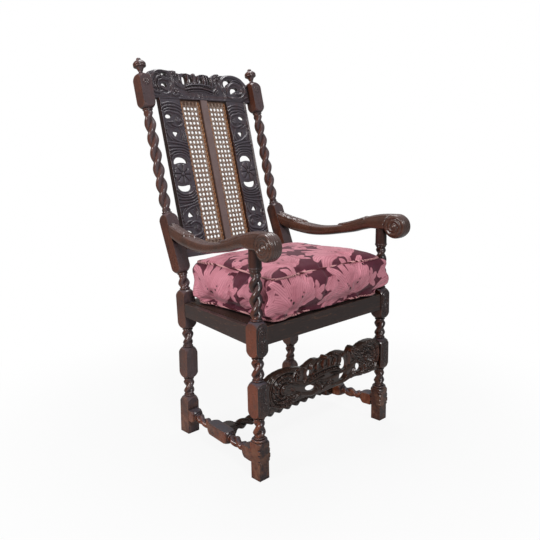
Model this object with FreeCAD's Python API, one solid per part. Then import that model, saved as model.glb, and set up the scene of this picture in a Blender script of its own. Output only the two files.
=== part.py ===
import FreeCAD, Part
import math
import os

V = FreeCAD.Vector

# High-backed open armchair of the late seventeenth century, in turned and carved oak.
# Millimetres, +Z up. The chair faces -Y and +X is its right seen from the front.
# Every piece is first placed with the front post axes on y = 0 and the floor on z = 0,
# and the whole chair is moved at the end so that its box is centred over the origin.

# Posts
stock = 45.0
front_spread = 290.0
rear_spread = 248.0
neck_radius = 14.0
neck_step = 0.7
shoulder_length = 21.0
bead_radius = 17.5
bead_neck_radius = 15.4
bead_length = 5.0
bend_bead_length = 2.0

# Twist turning: two strands wound round each other, right-handed
strand_radius = 11.7
strand_offset = 7.9
leg_pitch = 86.0
leg_twist_start = 18.0
back_pitch = 104.0
back_twist_start = -3.0
twist_fade = 15.0
rows_per_turn = 24
points_per_strand = 9

# Heights of the front post from the floor
front_foot_top = 127.0
front_foot_plain = 54.0
front_foot_width = 38.0
front_low_block_bottom = 191.0
front_low_block_top = 304.0
front_seat_block_bottom = 375.0
front_seat_block_top = 484.0
front_neck_height = 631.0
arm_seat_height = 689.0

# Turned drum of the front post, under the arm
drum_radius = 20.0
dowel_radius = 9.0
dowel_length = 20.0

# Side line of the rear post: depth behind the front posts and height
rear_foot_depth = 411.0
rear_seat_low_depth = 398.0
rear_seat_low_height = 374.0
rear_seat_high_depth = 402.5
rear_seat_high_height = 509.0
arm_block_low_depth = 412.5
arm_block_low_height = 562.5
arm_block_high_depth = 486.0
arm_block_high_height = 756.0
rear_top_depth = 609.5
total_height = 1270.0
rear_foot_block_top = 133.0
rear_mid_block_bottom = 198.0
rear_mid_block_top = 310.0
crest_block_bottom = 1103.0
crest_block_length = 118.0
finial_radius = 21.5

# Seat frame
rail_thick = 24.0
rail_set_in = 3.0
rail_top = 466.0
rail_height = 54.0
side_rail_rear_height = 43.0
seat_cane_thick = 2.0
seat_cane_lap = 5.0

# Tenons
tenon_length = 18.0
tenon_thick = 9.0
tenon_shoulder = 8.0
tongue_length = 8.0
fit = 0.15
rim_tolerance = 0.015

# Back panel, measured along the raked back from the top of the arm blocks
panel_front = 5.0
panel_thick = 10.5
crescent_rise = 24.0
splat_inner = 105.0
splat_outer = 196.5
splat_bead_width = 6.0
splat_bead_rise = 8.0
splat_chamfer = 7.0
muntin_width = 29.0
bottom_rail_low = -156.0
bottom_rail_height = 30.0
crest_low = 398.0
crest_height = 104.0
crest_front = 2.0
crest_thick = 20.0

# Cane of the back
cane_row_pitch = 17.2
cane_column_pitch = 15.9
cane_hole = 10.0
cane_corner = 3.0
cane_thick = 1.6
cane_columns = 4
cane_rows = 28
cane_end_gap = 0.3
binding_width = 6.0
binding_thick = 2.0

# Arms
arm_width = 46.0
arm_reach = 100.0
arm_span = 570.0
arm_low = 648.0
arm_drop = 92.0
arm_round = 13.0
arm_tenon_height = 26.0
arm_tenon_drop = 56.0
scroll_radius = 40.0
throat_angle = 225.0
throat_length = 9.5

# Stretchers
stretcher_height = 69.0
stretcher_stock = 39.0
stretcher_neck = 12.0
stretcher_bead_neck = 13.4
stretcher_shoulder = 17.0
cross_depth = 207.0
front_stretcher_low = 194.0
front_stretcher_height = 123.0
front_stretcher_front = -17.0
front_stretcher_thick = 24.0

# Loose cushion
cushion_front = 38.0
cushion_rear = 368.0
cushion_front_half = 265.0
cushion_rear_half = 237.0
cushion_bow = 9.0
cushion_height = 168.0
soft_gap = 0.3

# Extra length of every cutting solid
overrun = 60.0

# Shapes given as shares. Each row is (across, up, bulge): the bulge is the rise of the arc that
# leads to the point, as a share of that arc's chord, and zero makes a straight line.
bead_bulge_share = -0.2
arch_bulge_share = -0.12
tenon_root_share = 0.5
foot_profile_shares = (
    (0.84, 0.0, 0), (0.84, 0.42, 0), (0.79, 0.435, 0), (0.9, 0.49, -0.3), (0.82, 0.51, 0),
    (0.96, 0.57, -0.3), (0.94, 0.63, -0.15), (0.81, 0.65, 0), (0.93, 0.7, -0.3),
    (0.9, 0.76, -0.15), (0.78, 0.78, 0), (0.89, 0.84, -0.3), (0.84, 0.92, -0.15),
    (0.66, 0.935, 0), (0.64, 1.0, -0.4))
finial_profile_shares = (
    (0.62, 0.0, 0), (0.45, 0.04, 0), (0.32, 0.11, 0.1), (0.42, 0.22, 0.1), (0.84, 0.44, 0.1),
    (1.0, 0.5, -0.25), (0.98, 0.55, -0.2), (0.93, 0.565, 0), (1.0, 0.61, -0.3),
    (0.92, 0.71, -0.15), (0.42, 0.86, -0.08), (0.34, 0.885, 0), (0.0, 1.0, -0.4))
drum_profile_shares = (
    (0.7, 0.0, 0), (0.99, 0.06, -0.35), (1.0, 0.11, -0.3), (0.96, 0.135, 0), (0.93, 1.0, 0))
arm_rear_shares = (0.8, 0.27)
arm_top_shares = (
    (0.88, 0.655), (0.8, 0.556), (0.7, 0.463), (0.609, 0.42), (0.514, 0.46),
    (0.444, 0.53), (0.375, 0.64), (0.297, 0.79), (0.219, 0.92), (0.149, 0.985))
arm_under_shares = (
    (0.3, 0.35), (0.36, 0.25), (0.46, 0.14), (0.56, 0.045), (0.655, 0.0), (0.74, 0.022),
    (0.85, 0.125))
crest_outline_shares = (
    (0.0, 0.975, 0), (0.1, 0.96, 0.1), (0.2, 0.87, 0.12), (0.25, 0.9, -0.1), (0.33, 0.94, 0.2),
    (0.38, 0.93, -0.1), (0.44, 0.96, -0.1), (0.56, 0.96, 0.3), (0.6, 0.93, -0.1), (0.8, 0.98, 0.2),
    (0.9, 0.93, 0.15), (0.95, 0.8, -0.2), (1.0, 0.62, -0.2))
crest_hole_shares = (
    (0.165, 0.71, 0.035, 0.13, 0), (0.3, 0.71, 0.045, 0.16, 0), (0.57, 0.72, 0.085, 0.1, -35),
    (0.69, 0.44, 0.1, 0.12, 0))
stretcher_outline_shares = (
    (0.0, 0.98, 0), (0.06, 0.945, 0.15), (0.16, 0.955, 0.2), (0.25, 0.965, 0.2),
    (0.35, 0.87, -0.1), (0.44, 1.0, 0.25), (0.52, 0.92, 0.2), (0.6, 0.97, 0.15),
    (0.8, 0.99, 0.15), (0.92, 0.95, 0.15), (1.0, 0.86, 0.1))
stretcher_lower_shares = ((0.92, 0.0), (0.64, 0.035), (0.46, 0.08), (0.28, 0.0))
stretcher_hole_shares = (
    (0.31, 0.62, 0.07, 0.18, 8), (0.29, 0.28, 0.1, 0.05, 10), (0.585, 0.34, 0.075, 0.09, -20),
    (0.46, 0.22, 0.05, 0.045, -25))
splat_hole_shares = (
    (0.656, 0.882, 0.19, 0.023, 12), (0.645, 0.103, 0.2, 0.02, -20))
splat_triangle_shares = ((0.459, 0.785, 0.18, -0.05), (0.455, 0.199, 0.17, 0.054))
rosette_height_share = 0.492
rosette_radius_share = 0.4
crescent_half_angle = 36.0
stretcher_rear_share = 0.1
stretcher_rear_twist_share = 0.2
stretcher_middle_share = 0.32
stretcher_front_share = 0.13
cushion_section_shares = (
    (0.955, 0.0), (0.99, 0.03), (1.0, 0.08), (0.985, 0.25), (0.98, 0.42), (0.985, 0.6),
    (1.0, 0.75), (0.99, 0.79), (0.955, 0.82), (0.85, 0.89), (0.7, 0.945), (0.5, 0.98),
    (0.25, 1.0))

# Sizes that follow
half = stock / 2
corner_radius = half * math.sqrt(2)
lean = math.atan2(rear_top_depth - arm_block_high_depth, total_height - arm_block_high_height)
front_inner = front_spread - half
rear_inner = rear_spread - half
across_x = V(1, 0, 0)
up_z = V(0, 0, 1)
block_neck = neck_radius + neck_step
post_bead = (bead_radius, bead_neck_radius)
both_ends = (stock, block_neck, shoulder_length, shoulder_length)
top_end = (stock, block_neck, 0, shoulder_length)
leg_twist = (strand_radius, strand_offset, neck_radius, leg_pitch, leg_twist_start)
back_twist = (strand_radius, strand_offset, neck_radius, back_pitch, back_twist_start)
bead_twist_bead = (("bead", bead_length, post_bead), ("twist", None, leg_twist),
                   ("bead", bead_length, post_bead))

# The stretchers are turned like the posts from thinner stock
thinner = stretcher_stock / stock
stretcher_twist = (strand_radius * thinner, strand_offset * thinner, stretcher_neck, leg_pitch,
                   leg_twist_start)
stretcher_bead = (bead_radius * thinner, stretcher_bead_neck)
stretcher_block_neck = stretcher_neck + neck_step


def ease(t):
    # Smooth step from 0 to 1
    t = min(max(t, 0.0), 1.0)
    return t * t * (3 - 2 * t)


def mid_of_arc(a, b, bulge):
    # Point on the arc from a to b, to the left of the way for a positive bulge
    chord = b - a
    return a + chord / 2 + V(-chord.z, 0, chord.x) * bulge


def wire_of(rows, as_spline=False):
    # Closed wire in the XZ plane through rows of (x, z, bulge). Arcs that are to be revolved
    # are made splines, because a ring whose arc reaches over the axis isn't a plain torus.
    edges = []
    for before, after in zip(rows[-1:] + rows[:-1], rows):
        a = V(before[0], 0, before[1])
        b = V(after[0], 0, after[1])
        if after[2]:
            arc = Part.Arc(a, mid_of_arc(a, b, after[2]), b)
            edges.append(arc.toBSpline().toShape() if as_spline else arc.toShape())
        else:
            edges.append(Part.LineSegment(a, b).toShape())
    return Part.Wire(edges)


def revolved(rows):
    # Solid of revolution about Z
    return Part.Face(wire_of(rows, True)).revolve(V(0, 0, 0), up_z, 360)


def plate(rows, front, thick):
    # Flat board from an outline in the XZ plane
    board = Part.Face(wire_of(rows)).extrude(V(0, thick, 0))
    board.translate(V(0, front, 0))
    return board


def ellipse_cut(x, z, across, up, tilt, front, thick):
    # Elliptical piercing through a board
    major, minor = max(across, up), min(across, up)
    hole = Part.Ellipse(V(0, 0, 0), major, minor).toShape()
    face = Part.Face(Part.Wire(hole))
    face.rotate(V(0, 0, 0), across_x, 90)
    if up > across:
        face.rotate(V(0, 0, 0), V(0, 1, 0), 90)
    face.rotate(V(0, 0, 0), V(0, 1, 0), tilt)
    face.translate(V(x, front - overrun, z))
    return face.extrude(V(0, thick + 2 * overrun, 0))


def turned(profile_shares, radius, height):
    # Solid of revolution about Z from shares of a radius and a height
    rows = [(0.0, height, 0), (0.0, 0.0, 0)]
    for across, up, bulge in profile_shares:
        if across or up < 1:
            rows.append((radius * across, height * up, bulge))
        else:
            rows[0] = (0.0, height, bulge)
    return revolved(rows)


def bead(length, radius, neck):
    # Thin turned ring with a rounded edge
    rows = [(0.0, length, 0), (0.0, 0.0, 0), (neck, 0.0, 0),
            (radius, length / 2, bead_bulge_share), (neck, length, bead_bulge_share)]
    return revolved(rows)


def block(length, width, neck, low_shoulder, high_shoulder):
    # Square block whose ends are turned down to the neck, which arches its faces
    body = Part.makeBox(width, width, length, V(-width / 2, -width / 2, 0))
    reach = width / math.sqrt(2) + fit
    low_radius = neck if low_shoulder else reach
    high_radius = neck if high_shoulder else reach
    rows = [(0.0, length, 0), (0.0, 0.0, 0), (low_radius, 0.0, 0)]
    if low_shoulder:
        rows.append((reach, low_shoulder, arch_bulge_share))
    if high_shoulder:
        rows.append((reach, length - high_shoulder, 0))
        rows.append((high_radius, length, arch_bulge_share))
    else:
        rows.append((reach, length, 0))
    return body.common(revolved(rows))


def twist(length, at, strand, offset, neck, pitch, start):
    # Two-strand twist along Z. Its section is the union of two circles that turns with the
    # height, and at both ends it fades into a round neck. It starts at a way along its run.
    rows = max(points_per_strand, math.ceil(length / pitch * rows_per_turn))
    faces = []
    for lobe in (0, 1):
        grid = []
        for row in range(rows + 1):
            z = length * row / rows
            full = ease(min(z, length - z) / min(twist_fade, length / 2))
            e = offset * full
            rho = neck + (strand - neck) * full
            turn = 2 * math.pi * (start + at + z) / pitch + lobe * math.pi
            line = []
            for step in range(points_per_strand):
                a = math.pi * (step / (points_per_strand - 1) - 0.5)
                r = e * math.cos(a) + math.sqrt(rho ** 2 - (e * math.sin(a)) ** 2)
                line.append(V(r * math.cos(turn + a), r * math.sin(turn + a), z))
            grid.append(line)
        surface = Part.BSplineSurface()
        surface.interpolate(grid)
        faces.append(surface.toShape())
    caps = []
    for z in (0.0, length):
        rim = [e for f in faces for e in f.Edges
               if max(abs(e.BoundBox.ZMin - z), abs(e.BoundBox.ZMax - z)) < rim_tolerance]
        caps.append(Part.Face(Part.Wire(Part.__sortEdges__(rim))))
    shell = Part.makeShell(faces + caps)
    shell.sewShape()
    solid = Part.makeSolid(Part.Shell(shell.Faces))
    if solid.Volume < 0:
        solid.reverse()
    return solid


def placed(shape, start, direction, side):
    # Moves a shape built along Z to start, with Z along direction and X along side
    turn = FreeCAD.Rotation(side, direction.cross(side), direction, "ZXY")
    moved = shape.copy()
    moved.Placement = FreeCAD.Placement(start, turn)
    return moved


def run(start, end, side, pieces):
    # Builds a row of (kind, length, options) pieces from start to end. A length of None takes
    # what is left over.
    way = end - start
    spare = way.Length - sum(length for kind, length, options in pieces if length)
    direction = way.normalize()
    solids = []
    at = 0.0
    for kind, length, options in pieces:
        length = length or spare
        if kind == "block":
            solid = block(length, *options)
        elif kind == "bead":
            solid = bead(length, *options)
        elif kind == "twist":
            solid = twist(length, at, *options)
        else:
            solid = turned(kind, *options, length)
        solids.append(placed(solid, start + direction * at, direction, side))
        at += length
    return solids


def joined(solids):
    return solids[0].multiFuse(solids[1:])


def hollowed(shape, cutters):
    for cutter in cutters:
        shape = shape.cut(cutter)
    return shape


def bar(start, along, up, length, thick, height):
    # Box from start along a direction, centred in thickness and height
    body = Part.makeBox(length, thick, height, V(0, -thick / 2, -height / 2))
    turn = FreeCAD.Rotation(along, up.cross(along), up, "XZY")
    body.Placement = FreeCAD.Placement(start, turn)
    return body


def tenon(start, along, up, height, length=tenon_length, thick=tenon_thick):
    # Values of one tenon: where its shoulder lies, its direction and its size
    return (start, along, up, length, thick, height)


def tenon_solid(values):
    start, along, up, length, thick, height = values
    root = length * tenon_root_share
    return bar(start - along * root, along, up, root + length, thick, height)


def mortise_solid(values):
    start, along, up, length, thick, height = values
    return bar(start - along * overrun, along, up, overrun + length + fit,
               thick + 2 * fit, height + 2 * fit)


def to_back(shape):
    # From the upright frame of the back panel to its raked place
    moved = shape.copy()
    moved.rotate(V(0, 0, 0), across_x, -math.degrees(lean))
    moved.translate(V(0, arm_block_high_depth, arm_block_high_height))
    return moved


def back_point(x, y, z):
    return V(x, arm_block_high_depth + y * math.cos(lean) + z * math.sin(lean),
             arm_block_high_height - y * math.sin(lean) + z * math.cos(lean))


def front_post(side):
    # Foot with cut-cornered cushions, twists between square blocks, and a drum under the arm
    x = side * front_spread

    def at(height):
        return V(x, 0, height)

    foot = turned(foot_profile_shares, corner_radius, front_foot_top)
    plain = front_foot_width / 2
    foot = foot.common(joined([
        Part.makeBox(front_foot_width, front_foot_width, front_foot_top, V(-plain, -plain, 0)),
        Part.makeBox(stock, stock, front_foot_top, V(-half, -half, front_foot_plain))]))
    foot.translate(at(0))
    solids = [foot]
    solids += run(at(front_foot_top), at(front_low_block_bottom), across_x, bead_twist_bead)
    solids += run(at(front_low_block_bottom), at(front_low_block_top), across_x,
                  [("block", None, both_ends)])
    solids += run(at(front_low_block_top), at(front_seat_block_bottom), across_x, bead_twist_bead)
    solids += run(at(front_seat_block_bottom), at(front_seat_block_top), across_x,
                  [("block", None, both_ends)])
    solids += run(at(front_seat_block_top), at(front_neck_height), across_x, bead_twist_bead)
    solids += run(at(front_neck_height), at(arm_seat_height), across_x,
                  [(drum_profile_shares, None, (drum_radius,))])
    solids.append(Part.makeCylinder(dowel_radius, dowel_length, at(arm_seat_height)))
    return joined(solids)


def rear_stations(side):
    # Axis of the rear post from the floor to the top of its finial
    x = side * rear_spread
    return [V(x, rear_foot_depth, 0), V(x, rear_seat_low_depth, rear_seat_low_height),
            V(x, rear_seat_high_depth, rear_seat_high_height),
            V(x, arm_block_low_depth, arm_block_low_height),
            V(x, arm_block_high_depth, arm_block_high_height),
            V(x, rear_top_depth, total_height)]


def rear_post(side):
    # Splayed leg, seat block, raked arm block, long raked twist, crest block and finial
    floor, seat_low, seat_high, arm_low_end, arm_high_end, top = rear_stations(side)
    below = (seat_low - floor).normalize() * stock   # cut off level with the floor
    solids = run(floor - below, seat_low, across_x, [
        ("block", rear_foot_block_top + stock, top_end),
        ("bead", bead_length, post_bead),
        ("twist", rear_mid_block_bottom - rear_foot_block_top - 2 * bead_length, leg_twist),
        ("bead", bead_length, post_bead),
        ("block", rear_mid_block_top - rear_mid_block_bottom, both_ends), *bead_twist_bead])
    solids += run(seat_low, seat_high, across_x, [("block", None, both_ends)])
    solids += run(seat_high, arm_low_end, across_x, bead_twist_bead)
    solids += run(arm_low_end, arm_high_end, across_x, [("block", None, both_ends)])
    crest_start = (crest_block_bottom - arm_block_high_height) / math.cos(lean)
    solids += run(arm_high_end, top, across_x, [
        ("bead", bead_length, post_bead),
        ("twist", crest_start - 2 * bead_length, back_twist),
        ("bead", bead_length, post_bead),
        ("block", crest_block_length, both_ends),
        (finial_profile_shares, None, (finial_radius,))])
    for before, bend, after in ((floor, seat_low, seat_high), (seat_low, seat_high, arm_low_end),
                                (seat_high, arm_low_end, arm_high_end),
                                (arm_low_end, arm_high_end, top)):
        way = ((bend - before).normalize() + (after - bend).normalize()).normalize()
        ring = bead(bend_bead_length, *post_bead)
        solids.append(placed(ring, bend - way * (bend_bead_length / 2), way, across_x))
    depth = 2 * stock
    floor_cut = Part.makeBox(depth, depth, depth, floor - V(stock, stock, depth))
    return joined(solids).cut(floor_cut)


def stock_prism(side, low, high):
    # Endless square stock along one stretch of a rear post, to trim what abuts it
    a, b = rear_stations(side)[low], rear_stations(side)[high]
    way = (b - a).normalize()
    prism = Part.makeBox(stock, stock, 2 * overrun + (b - a).Length, V(-half, -half, -overrun))
    return placed(prism, a, way, across_x)


def side_rail_line(side, depth):
    # Outer face of a side rail at a depth, in line with the posts
    share = depth / rear_seat_low_depth
    return side * (front_spread + (rear_spread - front_spread) * share + half - rail_set_in)


def side_rail_direction(side):
    return V(side * (rear_spread - front_spread), rear_seat_low_depth, 0).normalize()


def side_rail_tenons(side):
    # Front and rear tenons of a side rail
    inset = side * rail_thick / 2
    rear_face = rear_seat_low_depth - half
    along = side_rail_direction(side)
    middle = rail_top - side_rail_rear_height / 2
    height = side_rail_rear_height - 2 * tenon_shoulder
    front = V(side_rail_line(side, half) - inset, half, middle)
    rear = V(side_rail_line(side, rear_face) - inset, rear_face, middle)
    return [tenon(front, along * -1, up_z, height), tenon(rear, along, up_z, height)]


def side_rail(side):
    # Board between front and rear post, lower at the front, flush with their outer sides
    ends = []
    rear_face = rear_seat_low_depth + half
    for depth, height in ((half, rail_height), (rear_face, side_rail_rear_height)):
        outer = side_rail_line(side, depth)
        inner = outer - side * rail_thick
        corners = [V(outer, depth, rail_top), V(inner, depth, rail_top),
                   V(inner, depth, rail_top - height), V(outer, depth, rail_top - height)]
        ends.append(Part.Wire(Part.makePolygon(corners + corners[:1])))
    board = Part.makeLoft(ends, True, True)
    board = board.cut(stock_prism(side, 1, 2))
    board = max(board.Solids, key=lambda solid: solid.Volume)
    return joined([board] + [tenon_solid(values) for values in side_rail_tenons(side)])


def cross_tenons(half_length, depth, height, tenon_height):
    # The two tenons of a board that runs straight across the chair
    return [tenon(V(side * half_length, depth, height), V(side, 0, 0), up_z, tenon_height)
            for side in (-1, 1)]


def front_rail_tenons():
    depth = rail_set_in - half + rail_thick / 2
    return cross_tenons(front_inner, depth, rail_top - rail_height / 2,
                        rail_height - 2 * tenon_shoulder)


def rear_rail_tenons():
    depth = (rear_seat_low_depth + rear_seat_high_depth) / 2
    return cross_tenons(rear_inner, depth, rail_top - rail_height / 2,
                        rail_height - 2 * tenon_shoulder)


def cross_rail(half_length, tenons):
    # Straight seat rail with a tenon at each end
    middle = tenons[0][0].y
    board = Part.makeBox(2 * half_length, rail_thick, rail_height,
                         V(-half_length, middle - rail_thick / 2, rail_top - rail_height))
    return joined([board] + [tenon_solid(values) for values in tenons])


def seat_cane():
    # Caned seat, laid over the rails and notched round the four posts
    front_edge = rail_set_in - half + rail_thick - seat_cane_lap
    rear_edge = rear_rail_tenons()[0][0].y - rail_thick / 2 + seat_cane_lap
    rear_face = rear_seat_low_depth - half - tenon_shoulder
    front_face = half + fit
    points = []
    for side in (1, -1):
        corner = [V(side * (front_inner - fit), front_edge, 0),
                  V(side * (front_inner - fit), front_face, 0),
                  V(side_rail_line(side, front_face) - side * (rail_thick - seat_cane_lap), front_face, 0),
                  V(side_rail_line(side, rear_face) - side * (rail_thick - seat_cane_lap), rear_face, 0),
                  V(side * (rear_inner - fit), rear_face, 0),
                  V(side * (rear_inner - fit), rear_edge, 0)]
        points += corner if side == 1 else corner[::-1]
    sheet = Part.Face(Part.makePolygon(points + points[:1])).extrude(V(0, 0, seat_cane_thick))
    sheet.translate(V(0, 0, rail_top))
    return sheet


def arm_block_face(height):
    # Depth of the front face of the raked arm block at a height
    rise = arm_block_high_height - arm_block_low_height
    slope = (arm_block_high_depth - arm_block_low_depth) / rise
    return (arm_block_low_depth + (height - arm_block_low_height) * slope
            - half * math.hypot(1, slope))


def arm_outline(side):
    # Side view of an arm in its splayed upright plane: dipped top, rolled scroll in front, a
    # flat seat for the front post and a rear end that follows the face of the arm block
    def at(depth, height):
        share = depth / (arm_span - arm_reach)
        x = side * (front_spread + (rear_spread - front_spread) * share)
        return V(x, depth, height)

    def rear_end(v):
        height = arm_low + arm_drop * v
        return at(arm_block_face(height), height)

    def along_arm(shares):
        return [at(arm_span * u - arm_reach, arm_low + arm_drop * v) for u, v in shares]

    eye_depth = scroll_radius - arm_reach
    eye_height = arm_low + arm_drop - scroll_radius

    def on_scroll(angle):
        return at(eye_depth - scroll_radius * math.sin(angle),
                  eye_height + scroll_radius * math.cos(angle))

    crown, nose, base = on_scroll(0), on_scroll(math.pi / 2), on_scroll(math.pi)
    throat_turn = math.radians(throat_angle)
    before_throat, throat = on_scroll((math.pi + throat_turn) / 2), on_scroll(throat_turn)
    seat_front = at(-drum_radius - fit, arm_seat_height)
    seat_rear = at(drum_radius + throat_length, arm_seat_height)
    top = [rear_end(arm_rear_shares[0])] + along_arm(arm_top_shares) + [crown]
    under = [seat_rear] + along_arm(arm_under_shares) + [rear_end(arm_rear_shares[1])]
    upper = Part.BSplineCurve()
    upper.interpolate(top, InitialTangent=top[1] - top[0], FinalTangent=crown - top[-2])
    lower = Part.BSplineCurve()
    lower.interpolate(under)
    edges = [upper.toShape(), Part.Arc(crown, nose, base).toShape(),
             Part.Arc(base, before_throat, throat).toShape(),
             Part.LineSegment(throat, seat_front).toShape(),
             Part.LineSegment(seat_front, seat_rear).toShape(), lower.toShape(),
             Part.LineSegment(under[-1], top[0]).toShape()]
    return Part.Face(Part.Wire(edges))


def arm_tenon(side):
    # Tenon of an arm into the raked block of the rear post
    low, high = rear_stations(side)[3], rear_stations(side)[4]
    way = (high - low).normalize()
    inward = V(0, -way.z, way.y)
    start = high - way * arm_tenon_drop + inward * half
    return tenon(start, inward * -1, way, arm_tenon_height)


def arm(side):
    # Arm sawn to its outline, with rounded edges, splayed outwards to the front
    body = arm_outline(side).extrude(V(arm_width, 0, 0))
    body.translate(V(-arm_width / 2, 0, 0))
    rear_face = arm_block_face(arm_low)
    long_edges = []
    for edge in body.Edges:
        a, b = edge.Vertexes[0].Point, edge.Vertexes[-1].Point
        if min(a.y, b.y) < rear_face and abs(b.x - a.x) < arm_width - fit:
            long_edges.append(edge)
    body = body.makeFillet(arm_round, long_edges)
    dowel = Part.makeCylinder(dowel_radius + fit, dowel_length + fit,
                              V(side * front_spread, 0, arm_seat_height))
    return joined([body.cut(dowel), tenon_solid(arm_tenon(side))])


def mirrored_outline(shares, half_width, low, height):
    # Top edge from the right end to the left, symmetric about the middle
    points = [(half_width * u, low + height * v) for u, v, bulge in shares]
    bulges = [-bulge for u, v, bulge in shares]
    rows = [(x, z, bulge) for (x, z), bulge in zip(points[::-1], [0] + bulges[:0:-1])]
    return rows + [(-x, z, bulge) for (x, z), bulge in zip(points[1:], bulges[1:])]


def pierced(board, hole_shares, half_width, low, height, front, thick):
    # Cuts the elliptical piercings of a carved board on both halves
    cuts = []
    for u, v, across, up, tilt in hole_shares:
        for side in (-1, 1):
            cuts.append(ellipse_cut(side * half_width * u, low + height * v, half_width * across,
                                    height * up, side * tilt, front, thick))
    return board.cut(cuts)


def crest_tenons():
    # Tenons of the crest rail in the upright frame of the back, from its lower edge to a shoulder
    # below the arched top of the block
    block_low = (crest_block_bottom - arm_block_high_height) / math.cos(lean)
    high = block_low + crest_block_length - shoulder_length - tenon_shoulder
    depth = crest_front + crest_thick / 2
    return [tenon(V(side * rear_inner, depth, (crest_low + high) / 2), V(side, 0, 0), up_z,
                  high - crest_low) for side in (-1, 1)]


def bottom_rail_tenons():
    height = bottom_rail_height - 2 * fit - tenon_shoulder
    middle = bottom_rail_low + bottom_rail_height / 2
    return [tenon(V(side * rear_inner, panel_front + panel_thick / 2, middle), V(side, 0, 0),
                  up_z, height) for side in (-1, 1)]


def board_tongues(centre, width):
    # Tongues of an upright board of the back into the rails above and below it
    depth = panel_front + panel_thick / 2
    low = bottom_rail_low + bottom_rail_height
    tongue_width = width - 2 * tenon_shoulder
    return [tenon(V(centre, depth, low), V(0, 0, -1), across_x, tongue_width, tongue_length),
            tenon(V(centre, depth, crest_low), V(0, 0, 1), across_x, tongue_width, tongue_length)]


def splat_centre(side):
    return side * (splat_inner + splat_outer) / 2


def all_tongues():
    rows = board_tongues(0.0, muntin_width)
    for side in (-1, 1):
        rows += board_tongues(splat_centre(side), splat_outer - splat_inner)
    return rows


def crest_rail():
    # Pierced and carved top rail
    rows = mirrored_outline(crest_outline_shares, rear_inner, crest_low, crest_height)
    rows += [(-rear_inner, crest_low, 0), (rear_inner, crest_low, 0)]
    board = plate(rows, crest_front, crest_thick)
    board = pierced(board, crest_hole_shares, rear_inner, crest_low, crest_height, crest_front,
                    crest_thick)
    board = joined([board] + [tenon_solid(values) for values in crest_tenons()])
    return board.cut([mortise_solid(values) for values in all_tongues() if values[1].z > 0])


def bottom_rail():
    # Plain lower rail of the back
    board = Part.makeBox(2 * rear_inner, panel_thick, bottom_rail_height,
                         V(-rear_inner, panel_front, bottom_rail_low))
    board = joined([board] + [tenon_solid(values) for values in bottom_rail_tenons()])
    return board.cut([mortise_solid(values) for values in all_tongues() if values[1].z < 0])


def back_board(centre, width):
    # Upright board of the back with a tongue at each end
    low = bottom_rail_low + bottom_rail_height
    board = Part.makeBox(width, panel_thick, crest_low - low, V(centre - width / 2, panel_front, low))
    return joined([board] + [tenon_solid(values) for values in board_tongues(centre, width)])


def crescent(x, z, radius, direction):
    # Half-moon piercing beside the rosette, above it for +1 and below it for -1
    wide = math.radians(crescent_half_angle)
    dx = radius * math.sin(wide)
    dz = direction * radius * math.cos(wide)
    bend = direction * (radius - abs(dz) + crescent_rise) / (2 * dx)
    flat = direction * (radius - abs(dz)) / (2 * dx)
    rows = [(x - dx, z + dz, -flat), (x + dx, z + dz, bend)]
    return plate(rows, panel_front - overrun, panel_thick + 2 * overrun)


def splat(side):
    # Carved upright with a rosette between two half-moons, triangles and round holes. A bead
    # stands along its outer edge, which is thinned behind by a chamfer.
    width = splat_outer - splat_inner
    low = bottom_rail_low + bottom_rail_height
    height = crest_low - low
    board = back_board(splat_centre(side), width)
    edge = side * (splat_outer - splat_bead_width / 2) - splat_bead_width / 2
    bead = Part.makeBox(splat_bead_width, splat_bead_rise, height,
                        V(edge, panel_front - splat_bead_rise, low))
    back = panel_front + panel_thick
    corner = V(side * splat_outer, back, low)
    wedge = Part.Face(Part.makePolygon([corner, corner - V(0, splat_chamfer, 0),
                                        corner - V(side * splat_chamfer, 0, 0), corner]))
    board = joined([board, bead]).cut(wedge.extrude(V(0, 0, height)))
    cuts = []
    for u, v, across, up, tilt in splat_hole_shares:
        cuts.append(ellipse_cut(side * (splat_inner + width * u), low + height * v, width * across,
                                height * up, side * tilt, panel_front, panel_thick))
    for u, v, across, up in splat_triangle_shares:
        x = side * (splat_inner + width * u)
        z = low + height * v
        rows = [(x - side * width * across, z, 0), (x + side * width * across, z, 0),
                (x, z + height * up, 0)]
        cuts.append(plate(rows, panel_front - overrun, panel_thick + 2 * overrun))
    centre_z = low + height * rosette_height_share
    for direction in (-1, 1):
        cuts.append(crescent(splat_centre(side), centre_z, width * rosette_radius_share, direction))
    return board.cut(cuts)


def cane_box(side):
    # Space of one cane panel between muntin and splat, with its lap on both
    inner = muntin_width / 2
    low = bottom_rail_low + bottom_rail_height + cane_end_gap
    return inner, splat_inner, low, crest_low - cane_end_gap


def cane_panel(side):
    # Cane net over the opening, one holed sheet laid on the backs of the boards
    inner, outer, low, high = cane_box(side)
    lap = binding_width + fit
    middle = side * (inner + outer) / 2
    start = (low + high - (cane_rows - 1) * cane_row_pitch) / 2
    width = outer - inner + 2 * lap
    sheet = [(middle - width / 2, low, 0), (middle + width / 2, low, 0),
             (middle + width / 2, high, 0), (middle - width / 2, high, 0)]
    h = cane_hole / 2
    c = cane_corner
    wires = []
    for row in range(cane_rows):
        z = start + row * cane_row_pitch
        for column in range(cane_columns):
            x = middle + (column - (cane_columns - 1) / 2) * cane_column_pitch
            hole = [(x - h, z - h + c, 0), (x - h + c, z - h, 0), (x + h - c, z - h, 0),
                    (x + h, z - h + c, 0), (x + h, z + h - c, 0), (x + h - c, z + h, 0),
                    (x - h + c, z + h, 0), (x - h, z + h - c, 0)]
            wires.append(wire_of(hole))
    net = Part.makeFace([wire_of(sheet)] + wires, "Part::FaceMakerBullseye")
    net = net.extrude(V(0, cane_thick, 0))
    net.translate(V(0, panel_front + panel_thick, 0))
    return net


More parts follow.
